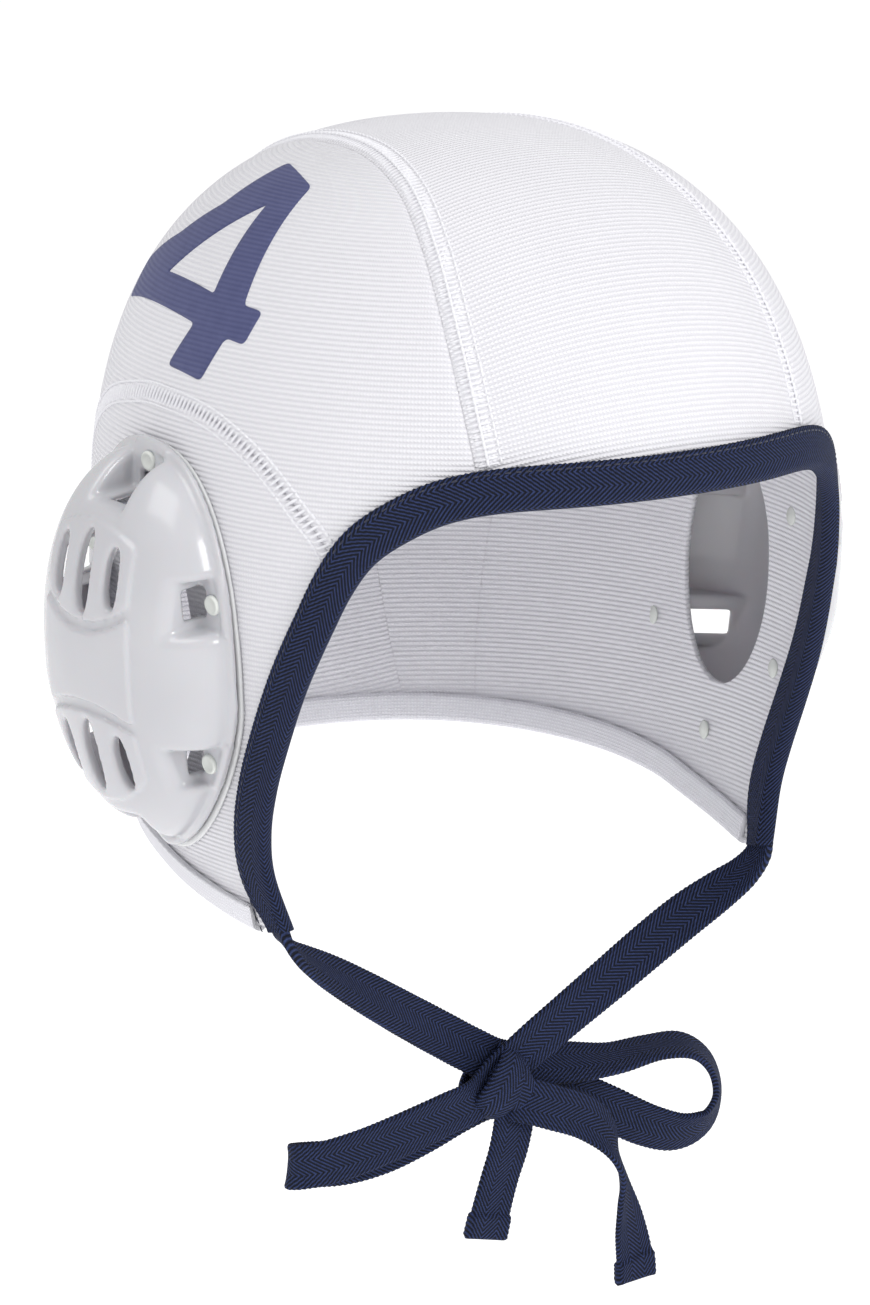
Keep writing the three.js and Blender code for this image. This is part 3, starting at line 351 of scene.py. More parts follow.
def read_smoothly(xs, ys, x):
    """A smooth curve through the points of a table, read at x."""
    runs = np.diff(ys) / np.diff(xs)
    slopes = np.concatenate([runs[:1], (runs[:-1] + runs[1:]) / 2, runs[-1:]])
    x = np.clip(x, xs[0], xs[-1])
    i = np.clip(np.searchsorted(xs, x, side="right") - 1, 0, len(xs) - 2)
    h = xs[i + 1] - xs[i]
    t = (x - xs[i]) / h
    return (
        (2 * t**3 - 3 * t**2 + 1) * ys[i] + (t**3 - 2 * t**2 + t) * h * slopes[i]
        + (3 * t**2 - 2 * t**3) * ys[i + 1] + (t**3 - t**2) * h * slopes[i + 1]
    )


def head_section(z, out):
    """Half breadth, front, back and middle of the level section at z, grown by out."""
    crown = z > -CROWN_DEPTH
    height = np.where(crown, np.clip((z + CROWN_DEPTH) / (CROWN_DEPTH + out), 0, 1), 0)
    down = -z / CROWN_DEPTH - 1
    sizes = []
    for size, power, column in (
        (HEAD_BREADTH / 2, SIDE_POWER, 1),
        (HEAD_LENGTH * FRONT_SHARE, FRONT_POWER, 2),
        (HEAD_LENGTH * (1 - FRONT_SHARE), BACK_POWER, 3),
    ):
        dome = (1 - height**power) ** (1 / power)
        low = read_smoothly(NARROWING[:, 0], NARROWING[:, column], down)
        sizes.append(np.where(crown, (size + out) * dome, size * low + out))
    return *sizes, HEAD_LENGTH * TOP_SHIFT * height


def inside_head(p, out):
    side, front, behind, shift = head_section(p[..., 2], out)
    y = p[..., 1] - shift
    reach = np.maximum(np.where(y < 0, front, behind), 1e-9)
    level = (np.abs(p[..., 0]) / np.maximum(side, 1e-9)) ** PLAN_POWER + (np.abs(y) / reach) ** PLAN_POWER
    return (level < 1) & (p[..., 2] < out)


def cast_out(start, direction, out, reach=2 * HEAD_LENGTH):
    near = np.zeros(np.broadcast_shapes(start.shape, direction.shape)[:-1])
    far = near + reach
    for _ in range(40):
        middle = (near + far) / 2
        inside = inside_head(start + direction * middle[..., None], out)
        near = np.where(inside, middle, near)
        far = np.where(inside, far, middle)
    return start + direction * near[..., None]


def on_head(p, out):
    core = np.zeros_like(p)
    core[..., 2] = np.minimum(p[..., 2], -CROWN_DEPTH)
    return cast_out(core, unit(p - core), out)


def head_normal(p):
    """The direction straight out of the head's surface at p."""
    q = on_head(p, 0.0)
    turn = unit(np.stack([-q[..., 1], q[..., 0], 0 * q[..., 0]], axis=-1)) * 0.5
    high = np.abs(q[..., 2]) > 0.2 * CROWN_DEPTH
    aside = np.where(high[..., None], [0.0, 0.0, 0.5], [0.5, 0.0, 0.0])
    normal = unit(np.cross(
        on_head(q + turn, 0.0) - on_head(q - turn, 0.0),
        on_head(q + aside, 0.0) - on_head(q - aside, 0.0),
    ))
    outwards = np.einsum("...i,...i->...", normal, q - np.array([0.0, 0.0, -CROWN_DEPTH]))
    return normal * np.where(outwards < 0, -1.0, 1.0)[..., None]


def by_turn(turn, down, out=CLOTH / 2):
    """A point by its turn from the front in degrees and its depth in shares of the crown's."""
    z = -down * CROWN_DEPTH
    side, front, behind, shift = head_section(z, out)
    turn = np.radians(turn)
    bend = 2 / PLAN_POWER
    reach = np.where(np.cos(turn) > 0, front, behind)
    x = -side * np.sign(np.sin(turn)) * np.abs(np.sin(turn)) ** bend
    y = shift - reach * np.sign(np.cos(turn)) * np.abs(np.cos(turn)) ** bend
    return np.stack([x, y, z], axis=-1)


# %% [markdown]
# ## Where the panels are cut
# The cloth has four outlines: the face edge, the nape edge, the arched seam over the ear, and
# the seam of the centre panel. They are short tables of places on the head, read smoothly and
# then measured out evenly, so that stitches and facets come at even steps along them.

# %% Where the panels are cut
FACE_EDGE = np.array([  # turn from the front in degrees, down in shares of the crown's depth
    (0, 0.675), (15, 0.677), (29, 0.684), (38, 0.707), (45, 0.752), (50.5, 0.808),
    (54.5, 0.885), (58.3, 0.99), (62.2, 1.1), (66.4, 1.236), (70.2, 1.36), (73, 1.474),
    (74, 1.575), (72.4, 1.7),
])
NAPE_EDGE = np.array([
    (72.4, 1.7), (78, 1.7), (83.5, 1.688), (90, 1.667), (97, 1.643), (105, 1.612),
    (118, 1.58), (135, 1.555), (155, 1.54), (180, 1.535),
])
ARCH_SEAM = np.array([
    (58.3, 0.779), (61.9, 0.727), (65.3, 0.679), (70.3, 0.624), (76.9, 0.578), (83, 0.553),
    (90.7, 0.542), (99.1, 0.546), (113, 0.595), (124, 0.69), (132, 0.84), (137, 1.05),
    (140.5, 1.3),
])
ARCH_FRONT_TURN, ARCH_BACK_TURN = 53.9, 142.5
CENTRE_SEAM = np.array([  # angle over the head from the forehead, half its half width
    (15, 0.545), (25, 0.549), (36, 0.55), (48, 0.53), (60, 0.484), (72, 0.425), (86, 0.373),
    (104, 0.338), (128, 0.328), (157, 0.35), (187, 0.385), (222, 0.4),
])


class HeadCurve:
    """A table's rows as a curve on the head, with shares from 0 to 1 even along its length."""

    def __init__(self, rows):
        steps = np.arange(len(rows), dtype=float)
        self.dense = np.linspace(0, len(rows) - 1, 1201)
        self.turn = read_smoothly(steps, rows[:, 0], self.dense)
        self.down = read_smoothly(steps, rows[:, 1], self.dense)
        along = lengths_along(by_turn(self.turn, self.down))
        self.length = along[-1]
        self.shares = along / along[-1]

    def row(self, share):
        return np.interp(share, self.shares, self.turn), np.interp(share, self.shares, self.down)

    def __call__(self, share):
        return by_turn(*self.row(np.asarray(share, dtype=float)))


face_edge = HeadCurve(FACE_EDGE)
nape_edge = HeadCurve(NAPE_EDGE)
GROWING = 1000  # points of the face edge along which its turn still grows
arch_front = np.interp(ARCH_FRONT_TURN, face_edge.turn[:GROWING], face_edge.shares[:GROWING])
arch_back = np.interp(ARCH_BACK_TURN, nape_edge.turn, nape_edge.shares)
arch_seam = HeadCurve(np.vstack([face_edge.row(arch_front), ARCH_SEAM, nape_edge.row(arch_back)]))


def seam_half(over):
    return read_smoothly(CENTRE_SEAM[:, 0], CENTRE_SEAM[:, 1], np.degrees(over)) * HEAD_BREADTH / 2


def over_angle(p):
    angle = np.arctan2(p[..., 2] + CROWN_DEPTH, -p[..., 1])
    return np.where(angle < -pi / 2, angle + 2 * pi, angle)


def over_head(x, over, out=CLOTH / 2):
    """The cloth in the upright plane at x, at an angle over the head from the forehead."""
    x, over = np.broadcast_arrays(np.asarray(x, dtype=float), over)
    start = np.stack([x, 0 * x, 0 * x - CROWN_DEPTH], axis=-1)
    return cast_out(start, np.stack([0 * x, -np.cos(over), np.sin(over)], axis=-1), out)


half_face = np.linspace(0, 0.5, 601)
half_nape = np.linspace(1, 0.6, 601)
face_x, nape_x = -face_edge(half_face)[:, 0], -nape_edge(half_nape)[:, 0]
NEAR_SEAM_AT_FACE, NEAR_SEAM_AT_NAPE = 0.14, 0.9  # shares of the edges close to the centre seam
seam_front_half = seam_half(over_angle(face_edge(NEAR_SEAM_AT_FACE)))
seam_back_half = seam_half(over_angle(nape_edge(NEAR_SEAM_AT_NAPE)))
seam_front = np.interp(seam_front_half, face_x, half_face)
seam_back = np.interp(seam_back_half, nape_x, half_nape)


def aside(points, distance):
    """The points moved along the head's surface, to the left of the run that they make."""
    run = unit(np.gradient(points, axis=0))
    return on_head(points + unit(np.cross(head_normal(points), run)) * distance, CLOTH / 2)


print("face edge", round(face_edge.length), "mm, nape edge", round(nape_edge.length), "mm a side")

# %% [markdown]
# ## The cloth panels
# Each panel is a grid of points cast onto the head twice, for its outer and inner face. The
# knit's ribs go across the centre panel and level round the sides, so the UV of a panel is the
# length across its ribs and along them. Next to a seam the cloth dips, as sewing pulls it in.

# %% The cloth panels
DIP = 0.5  # of the cloth at a seam
DIP_REACH = 0.9
SEAM_SLIT = 0.04  # between two panels in a seam
ABOUT_SIDE = 85.0  # radius that turns a turn round the head into a length
OVER_TOP = 97.0  # and the one for an angle over it
profile_z = np.linspace(0, -2 * CROWN_DEPTH, 801)
profile = np.stack([head_section(profile_z, CLOTH)[0], profile_z], axis=1)
profile_length = lengths_along(profile)


def close_steps(length, count):
    """Shares along a length, packed close at both ends, where the cloth bends into its seams."""
    near = np.array([0, 0.35, 0.8, 1.4, 2.3, 3.6]) / length
    return np.concatenate([near, np.linspace(5.2 / length, 1 - 5.2 / length, count), 1 - near[::-1]])


def side_weave(points):
    """UV of ribs that run level round the head."""
    turn = np.arctan2(-points[..., 1], -points[..., 0])
    down = np.interp(points[..., 2], profile_z[::-1], profile_length[::-1])
    return np.stack([turn * ABOUT_SIDE, down], axis=-1) * MM


def dips(distances):
    return DIP * np.exp(-((distances / DIP_REACH) ** 2))


def cloth_wall(name, grid, seam_distance, uv, wrap=False):
    outer = on_head(grid, CLOTH) - head_normal(grid) * dips(seam_distance)[..., None]
    return wall_object(name, outer, on_head(grid, 0.0), uv, wrap)


def to_the_left(mesh):
    mesh.transform(Matrix.Scale(-1, 4, (1, 0, 0)))
    mesh.flip_normals()


def both_sides(piece, name_left):
    """The piece's twin on the wearer's left."""
    mesh = piece.data.copy()
    to_the_left(mesh)
    twin = bpy.data.objects.new(name_left, mesh)
    bpy.context.scene.collection.objects.link(twin)
    return twin


CENTRE_ROWS, CENTRE_COLUMNS = 150, 44
lean = (2 * close_steps(2 * seam_front_half, CENTRE_COLUMNS) - 1)[None, :]
face_share = np.interp(np.abs(lean) * seam_front_half, face_x, half_face)
nape_share = np.interp(np.abs(lean) * seam_back_half, nape_x, half_nape)
over_front, over_back = over_angle(face_edge(face_share)), over_angle(nape_edge(nape_share))
along_panel = np.linspace(0, 1, CENTRE_ROWS)[:, None]
over = over_front + (over_back - over_front) * along_panel
x = lean * (seam_half(over) - SEAM_SLIT / 2)
centre_grid = over_head(x, over)
centre_uv = np.stack([x, over * OVER_TOP], axis=-1) * MM
crown_panel = cloth_wall("crown_panel_cloth", centre_grid, seam_half(over) - np.abs(x), centre_uv)
print("centre panel", len(crown_panel.data.polygons), "faces")

# %% The side panels
SIDE_ROWS = 150
SIDE_WIDTH = 70.0  # about, from the centre seam down to the arch
seam_over = over_angle(face_edge(seam_front)), over_angle(nape_edge(seam_back))
share = np.linspace(0, 1, SIDE_ROWS)
side_over = seam_over[0] + (seam_over[1] - seam_over[0]) * share
top = over_head(-seam_half(side_over) - SEAM_SLIT / 2, side_over)
arch = arch_seam(share)
low = aside(arch, -SEAM_SLIT / 2)
down = close_steps(SIDE_WIDTH, 36)


def edge_between(curve, from_share, to_share, start, end):
    """A stretch of cut edge, moved a little so that its ends land on two given points."""
    points = curve(from_share + (to_share - from_share) * down)
    return points + (start - points[0]) * (1 - down)[:, None] + (end - points[-1]) * down[:, None]


front = edge_between(face_edge, seam_front, arch_front, top[0], low[0])
rear = edge_between(nape_edge, seam_back, arch_back, top[-1], low[-1])
s, t = share[:, None, None], down[None, :, None]
patch = (
    top[:, None] * (1 - t) + low[:, None] * t + front[None] * (1 - s) + rear[None] * s
    - top[0] * (1 - s) * (1 - t) - top[-1] * s * (1 - t) - low[0] * (1 - s) * t - low[-1] * s * t
)
side_grid = on_head(patch, CLOTH / 2)
widths = np.stack([lengths_along(row)[-1] for row in side_grid])[:, None]
seam_distance = np.minimum(down[None, :], 1 - down[None, :]) * widths
side_panel_right = cloth_wall("side_panel_cloth_right", side_grid, seam_distance, side_weave(side_grid))
side_panel_left = both_sides(side_panel_right, "side_panel_cloth_left")

# %% [markdown]
# ## The guard's own frame
# A guard leans with the ear, turns down a little with the cheek, and faces a little forward, so
# that it is deepest behind the ear. It has axes of its own: w to the front, v up and n straight
# out. The ear hole, the rivets and the guard itself are all worked out in them.

# %% The guard's own frame
GUARD_HEIGHT = 93.5
GUARD_WIDTH = 66.0
GUARD_DEPTH = 20.9
GUARD_SET_BACK = 5.925  # its middle behind the crown's middle
GUARD_DROP = 110.28  # its middle below the top of the head
GUARD_LEAN, GUARD_TILT, GUARD_YAW = radians(3.5), radians(7), radians(10)
EGG_ABOVE, EGG_TOP = 0.56, 0.511
EGG_POWER_ABOVE, EGG_POWER_BELOW = 2.4, 1.55
SEAT_LEVEL = CLOTH + 1.4  # the guard's underside, on its ring
EAR_HOLE_WIDTH, EAR_HOLE_HEIGHT = 33.0, 58.0

turn_forward = np.array(Matrix.Rotation(GUARD_YAW, 3, "Z"))
n_axis = turn_forward @ np.array([-cos(GUARD_TILT), 0, -sin(GUARD_TILT)])
cheek_up = turn_forward @ np.array([-sin(GUARD_TILT), 0, cos(GUARD_TILT)])
cheek_front = turn_forward @ np.array([0, -1.0, 0])
w_axis = cheek_front * cos(GUARD_LEAN) - cheek_up * sin(GUARD_LEAN)
v_axis = cheek_up * cos(GUARD_LEAN) + cheek_front * sin(GUARD_LEAN)
guard_seat = on_head(np.array([-HEAD_BREADTH, GUARD_SET_BACK, -GUARD_DROP]), CLOTH)


def guard_point(w, v, h):
    w, v, h = np.broadcast_arrays(w, v, h)
    return guard_seat + w[..., None] * w_axis + v[..., None] * v_axis + h[..., None] * n_axis


def seat_height(w, v, out):
    """Height of the head's surface, grown by out, above the guard's own plane."""
    depth = HEAD_BREADTH / 4
    start = guard_point(w, v, -depth)
    end = cast_out(start, n_axis, out, 2 * depth)
    return np.linalg.norm(end - start, axis=-1) - depth


# %% The ear flaps
FLAP_RINGS = 26
FLAP_WIDTH = 45.0  # about, from the hole to the outline
ARCH_POINTS = 110
NO_SEAM = 9.0  # a distance at which the cloth doesn't dip
arch_points = aside(arch_seam(np.linspace(0, 1, ARCH_POINTS)), SEAM_SLIT / 2)
rear_points = nape_edge(arch_back * np.linspace(1, 0, 60))
front_points = face_edge(1 + (arch_front - 1) * np.linspace(0, 1, 70))
outline = np.concatenate([arch_points, rear_points[1:], front_points[1:-1]])
from_seat = outline - guard_seat
hole_angle = np.arctan2(from_seat @ v_axis / EAR_HOLE_HEIGHT, from_seat @ w_axis / EAR_HOLE_WIDTH)
hole_w = EAR_HOLE_WIDTH / 2 * np.cos(hole_angle)
hole_v = EAR_HOLE_HEIGHT / 2 * np.sin(hole_angle)
hole = guard_point(hole_w, hole_v, seat_height(hole_w, hole_v, CLOTH / 2))
outward = close_steps(FLAP_WIDTH, FLAP_RINGS)[:, None, None]
flap_grid = on_head(hole * (1 - outward) + outline * outward, CLOTH / 2)
to_arch = np.full(flap_grid.shape[:2], NO_SEAM)
spans = np.linalg.norm(outline - hole, axis=1)
to_arch[:, :ARCH_POINTS] = (1 - outward[:, :, 0]) * spans[None, :ARCH_POINTS]
ear_flap_right = cloth_wall("ear_flap_cloth_right", flap_grid, to_arch, side_weave(flap_grid), wrap=True)
ear_flap_left = both_sides(ear_flap_right, "ear_flap_cloth_left")
print("ear flap", len(ear_flap_right.data.polygons), "faces")

# %% [markdown]
# ## The tape round the face
# The tape is folded over the cut edge and sewn through, so its section is a flat U with a round
# fold. It is drawn once as distances from the edge and from the head, then set along the edge.
# The same fold of plain cloth, a little narrower, makes the turned hem at the nape.

# %% The tape round the face
TAPE_GAP = 0.3
TAPE = 1.1
BINDING_WIDTH = 8.6
HEM_WIDTH = 6.2
FOLD_STEP = 0.5
HEM_STEP = 1.2
TAPER_OVER = 8.0  # length from the tip over which the tape is gathered
TAPE_OUTSIDE = CLOTH + TAPE_GAP + TAPE  # the tape's face above the head's surface


def folded_section(width, thickness):
    """A U section as distances in from the cut edge and out from the head's surface."""
    low, high = -TAPE_GAP - thickness, CLOTH + TAPE_GAP + thickness
    middle, reach = (low + high) / 2, (high - low) / 2
    end = width - TAPE_GAP - thickness
    turn = np.linspace(pi / 2, 3 * pi / 2, 11)
    outer = [(reach * np.cos(a) * 0.75 - TAPE_GAP, middle + reach * np.sin(a)) for a in turn]
    hollow = reach - thickness
    inner = [(hollow * np.cos(a) * 0.6 - TAPE_GAP + 0.2, middle + hollow * np.sin(a)) for a in turn[::-2]]
    leg = [end, end * 0.75, end * 0.5, end * 0.25]
    swell = [0.12, 0.02, 0.08, 0.02]
    outside = [(a, high + b) for a, b in zip(leg, swell)]
    inside = [(a, low - b) for a, b in zip(leg[::-1], swell[::-1])]
    tips = [(end + 0.25, low + thickness / 2), (end, low + thickness)]
    tips_out = [(end, high - thickness), (end + 0.25, high - thickness / 2)]
    return np.array(outside + outer + inside + tips + inner + tips_out)


def across_wearer(curve, end, share):
    """A point of a whole edge, with share 0 at the right flap's tip and 1 at the left one's."""
    half = curve(end + (1 - 2 * end) * np.abs(1 - 2 * share))
    half[..., 0] *= np.where(share < 0.5, 1.0, -1.0)
    return half


def folded_piece(name, edge, width, thickness, picks=0.0, taper=0.0):
    run = unit(np.gradient(edge, axis=0))
    inwards = unit(np.cross(head_normal(edge), run))
    along = lengths_along(edge)
    section = folded_section(width, thickness)
    wobble = 1 + picks * np.sin(2 * pi * along / PICK_PITCH) + 0.25 * picks * np.sin(along / 7.3)
    end = np.minimum(along, along[-1] - along)
    wobble = wobble * (1 - taper * np.exp(-((end / TAPER_OVER) ** 2)))
    reach = section[None, :, 0] * np.where(section[None, :, 0] > 1, wobble[:, None], 1.0)
    based = edge[:, None, :] + inwards[:, None, :] * reach[:, :, None]
    rings = np.empty_like(based)
    for k, out in enumerate(section[:, 1]):
        rings[:, k] = on_head(based[:, k], out)
    around = np.concatenate([[0.0], np.cumsum(np.linalg.norm(np.diff(section, axis=0), axis=1))])
    uv = np.empty(rings.shape[:2] + (2,))
    uv[..., 0] = along[:, None] * MM
    uv[..., 1] = around * MM
    return loft_object(name, rings, uv)


steps = np.linspace(0, 1, int(2 * face_edge.length / FOLD_STEP))
whole_face = across_wearer(face_edge, 0, steps)
edge_binding = folded_piece(
    "edge_binding_tape", whole_face, BINDING_WIDTH, TAPE, picks=0.02, taper=TIP_TAPER
)
hem_start = np.interp(BINDING_WIDTH + TAPE_GAP, nape_edge.shares * nape_edge.length, nape_edge.shares) / 2
steps = np.linspace(1 - hem_start, hem_start, int(2 * nape_edge.length / HEM_STEP))
whole_nape = across_wearer(nape_edge, 1, steps)
nape_hem = folded_piece("nape_hem_cloth", whole_nape, HEM_WIDTH, TAPE)
print("binding", len(edge_binding.data.polygons), "faces, hem", len(nape_hem.data.polygons), "faces")

# %% [markdown]
# ## The ear guards
# A guard is one moulded shell with soft edges everywhere: fillets where a pocket's wall meets
# the rim, rolled slots, bevelled panels. Booleans would leave those edges sharp. So the guard is
# a field of distances on a fine grid, where a union or a cut is a smooth minimum or maximum, and
# OpenVDB draws the surface through its zero.

# %% The guard's field
GUARD_WALL = 1.8
GUARD_FLANGE = 1.6
GUARD_RIM = 1.6
FACE_WIDTH = 29.0
FACE_RELIEF = 1.0
SLOT_WIDTH = 4.6
POCKET_WALL = 1.6
WINDOW_DEPTH = 8.0
RIVET_HEAD, RIVET_SHANK, RIVET_CLEARANCE, RIVET_RISE = 4.6, 2.2, 0.3, 1.0
DOME_POWER = 2.05
VENTS = [  # along in shares of the face's half width, low and high of the guard's half height
    (0, 0.31, 0.7, 1), (-0.62, 0.36, 0.65, 0.87), (0.62, 0.36, 0.65, 0.87),
    (0, -0.58, -0.21, 1), (-0.62, -0.545, -0.26, 0.87), (0.62, -0.545, -0.26, 0.87),
]
FACE_PANELS = [  # top edge at its sides and middle, then the low edge
    (0.655, 0.745, 0.39, 0.285), (0.345, 0.235, -0.19, -0.11), (-0.235, -0.165, -0.47, -0.635),
]
EGG_MIDDLE = GUARD_HEIGHT * (EGG_TOP - EGG_ABOVE)
SIDE_DEPTH, END_DEPTH = 6.6, 9.0
SIDE_WINDOW, END_WINDOW = 0.44, 0.3  # their windows' tops in shares of the guard's depth
POCKETS = []  # rivet's w and v, axis and side that the pocket opens to, half height, depth, window
for up_share, half_share, rivet_share in ((0.385, 0.06, 0.824), (-0.41, 0.05, 0.724)):
    for side in (1, -1):
        place = (side * rivet_share * GUARD_WIDTH / 2, up_share * GUARD_HEIGHT / 2)
        POCKETS.append((place, 0, side, half_share * GUARD_HEIGHT, SIDE_DEPTH, SIDE_WINDOW))
END_RIVET = 4.2
POCKETS.append(((0.0, GUARD_HEIGHT * EGG_TOP - END_RIVET), 1, 1, 6.0, END_DEPTH, END_WINDOW))
low_end = GUARD_HEIGHT * (EGG_TOP - 1) + END_RIVET + GUARD_FLANGE / 2
POCKETS.append(((0.0, low_end), 1, -1, 6.0, END_DEPTH, END_WINDOW))

VOXEL = 0.59
LOW_CORNER = np.array([-35.5, -48.5, -19.0])
COUNTS = (np.array([71.0, 98.5, 43.5]) / VOXEL).astype(int)
w_line, v_line, h_line = (LOW_CORNER[i] + VOXEL * np.arange(COUNTS[i]) for i in range(3))
flat_w, flat_v = np.meshgrid(w_line, v_line, indexing="ij")
flat_seat = seat_height(flat_w, flat_v, SEAT_LEVEL)
W, V, H = np.meshgrid(w_line, v_line, h_line, indexing="ij")
SEAT = flat_seat[:, :, None] + 0 * H


def smooth_min(a, b, fillet):
    near = np.clip(0.5 + (b - a) / (2 * fillet), 0, 1)
    return b + (a - b) * near - fillet * near * (1 - near)


def smooth_max(a, b, fillet):
    return -smooth_min(-a, -b, fillet)


def egg_gauge(w, v, inset):
    """1 on the guard's outline with that inset, and in proportion elsewhere."""
    rise = v - EGG_MIDDLE
    above = rise > 0
    power = np.where(above, EGG_POWER_ABOVE, EGG_POWER_BELOW)
    half_height = GUARD_HEIGHT * np.where(above, EGG_ABOVE, 1 - EGG_ABOVE) - inset
    level = (np.abs(w) / (GUARD_WIDTH / 2 - inset)) ** power + (np.abs(rise) / half_height) ** power
    return np.maximum(level, 1e-6) ** (1 / power)


def as_distance(gauge, spacing):
    slope = np.sqrt(sum(g**2 for g in np.gradient(gauge, *spacing)))
    return (gauge - 1) / np.maximum(slope, 0.012)


def egg_distance(inset):
    flat = as_distance(egg_gauge(flat_w, flat_v, inset), (VOXEL, VOXEL))
    return flat[:, :, None] + 0 * H


def dome_distance(inset, face, rim):
    base = SEAT + rim
    share = np.maximum(H - base, 0) / (face - base)
    round_about = egg_gauge(flat_w, flat_v, inset)[:, :, None]
    gauge = (round_about**DOME_POWER + share**DOME_POWER) ** (1 / DOME_POWER)
    return as_distance(gauge, (VOXEL, VOXEL, VOXEL))


def slab(x, low, high):
    return np.maximum(low - x, x - high)


def block_distance(pocket, grow, reach_out, corner):
    """A pocket's block in plan, from its inner wall out past the dome."""
    (rivet_w, rivet_v), axis, side, half, depth, _ = pocket
    run, cross = (W - rivet_w, V - rivet_v) if axis == 0 else (V - rivet_v, W - rivet_w)
    inner = -(depth - RIVET_HEAD / 2 + grow)
    return smooth_max(slab(run * side, inner, reach_out), np.abs(cross) - half - grow, corner)


def guard_field():
    edge = egg_distance(0.0)
    rim = smooth_max(edge, slab(H, SEAT, SEAT + GUARD_RIM), 0.7)
    shell = dome_distance(GUARD_FLANGE, GUARD_DEPTH, GUARD_RIM)
    raised = dome_distance(GUARD_FLANGE - FACE_RELIEF / 2, GUARD_DEPTH + FACE_RELIEF, GUARD_RIM)
    half = GUARD_HEIGHT / 2
    for top_side, top_middle, low_side, low_middle in FACE_PANELS:
        bow = 1 - (2 * W / FACE_WIDTH) ** 2
        high = (top_side + (top_middle - top_side) * bow) * half
        low = (low_side + (low_middle - low_side) * bow) * half
        panel = smooth_max(slab(V, low, high), np.abs(W) - FACE_WIDTH / 2, 1.6)
        panel = smooth_max(panel, 6.0 - H, 0.4)
        shell = smooth_min(shell, smooth_max(raised, panel, 0.4), 0.25)
    walls = np.full_like(H, 1e3)
    for pocket in POCKETS:
        floor = seat_height(*np.array(pocket[0]), SEAT_LEVEL) + GUARD_RIM
        opening = smooth_max(block_distance(pocket, 0.0, 60.0, 1.6), floor - H, 0.5)
        shell = smooth_max(shell, -opening, 2.6)
        walls = smooth_min(walls, block_distance(pocket, POCKET_WALL, 60.0, 1.6), 0.4)
    body = smooth_min(shell, rim, 1.5)
    for pocket in POCKETS:
        (rivet_w, rivet_v), axis, side, half_size, *_ = pocket
        cross = V - rivet_v if axis == 0 else W - rivet_w
        outside = (W if axis == 0 else V) * side > 0
        lip = smooth_max(smooth_max(edge, -edge - 1.9, 0.5), slab(H, SEAT, SEAT + GUARD_RIM + 0.75), 0.5)
        lip = smooth_max(lip, np.where(outside, np.abs(cross) - half_size - 1.0, 20.0), 0.6)
        body = smooth_min(body, lip, 0.5)
    hollow = dome_distance(GUARD_FLANGE + GUARD_WALL, GUARD_DEPTH - GUARD_WALL, 0.0)
    hollow = smooth_max(hollow, -walls, 0.8)
    body = smooth_max(body, -hollow, 0.5)
    body = smooth_max(body, SEAT - H, 0.4)
    for along, low, high, width in VENTS:
        middle, reach = (low + high) / 2 * half, (high - low) / 2 * half
        across = (W - along * FACE_WIDTH / 2) / (SLOT_WIDTH / 2 * width)
        lens = np.sqrt(across**2 + (np.abs(V - middle) / reach) ** 2.6) - 1
        slot = np.maximum(lens * SLOT_WIDTH / 2 * width, 2.0 - H)
        body = smooth_max(body, -slot, 1.0)
    for pocket in POCKETS:
        (rivet_w, rivet_v), axis, side, half_size, depth, window_top = pocket
        run, cross = (W - rivet_w, V - rivet_v) if axis == 0 else (V - rivet_v, W - rivet_w)
        inner = -(depth - RIVET_HEAD / 2 + WINDOW_DEPTH)
        window = smooth_max(
            slab(run * side, inner, -RIVET_HEAD / 2 - 0.4), np.abs(cross) - half_size * 0.62, 1.0
        )
        window = smooth_max(window, H - GUARD_DEPTH * window_top, 0.8)
        body = smooth_max(body, -window, 0.5)
        shank = np.hypot(W - rivet_w, V - rivet_v) - RIVET_SHANK / 2 - RIVET_CLEARANCE
        body = smooth_max(body, -shank, 0.15)
    return body


field = guard_field()
border = np.ones_like(field, dtype=bool)
border[1:-1, 1:-1, 1:-1] = False
field[border] = np.maximum(field[border], VOXEL)
print("guard grid", field.shape, "inside", int((field < 0).sum()))

# %% Guards from the field
grid = openvdb.FloatGrid(background=3 * VOXEL)
grid.copyFromArray(np.clip(field, -3 * VOXEL, 3 * VOXEL).astype(np.float32))
corners, quads = grid.convertToQuads(isovalue=0.0)
places = LOW_CORNER + np.asarray(corners, dtype=float) * VOXEL
guard_xyz = guard_point(places[:, 0], places[:, 1], places[:, 2])
ear_guard_right = mesh_object("guard_right", guard_xyz, [np.asarray(quads, dtype=int)])
ear_guard_left = both_sides(ear_guard_right, "guard_left")
print("a guard has", len(ear_guard_right.data.polygons), "quads")

# %% [markdown]
# ## The clear rings
# Below each rim a thin ring of clear plastic shows as a pale line. It follows the cheek, so its
# four corners are rows of points at fixed heights above the cloth.

# %% The clear rings
RING_THICKNESS, RING_LIP, RING_WIDTH, RING_DROP = 0.8, 0.3, 1.4, 1.0
ring_angle = np.linspace(0, 2 * pi, 260, endpoint=False)


def egg_points(angle, inset):
    power = np.where(np.sin(angle) > 0, EGG_POWER_ABOVE, EGG_POWER_BELOW)
    half_height = GUARD_HEIGHT * np.where(np.sin(angle) > 0, EGG_ABOVE, 1 - EGG_ABOVE) - inset
    c, s = np.cos(angle), np.sin(angle)
    w = (GUARD_WIDTH / 2 - inset) * np.sign(c) * np.abs(c) ** (2 / power)
    v = half_height * np.sign(s) * np.abs(s) ** (2 / power) + EGG_MIDDLE
    return w, v


def ring_rows(heights, insets):
    rows = []
    for height, inset in zip(heights, insets):
        w, v = egg_points(ring_angle, inset)
        v = v - RING_DROP
        rows.append(guard_point(w, v, seat_height(w, v, CLOTH + 0.3) + height))
    return np.stack(rows)


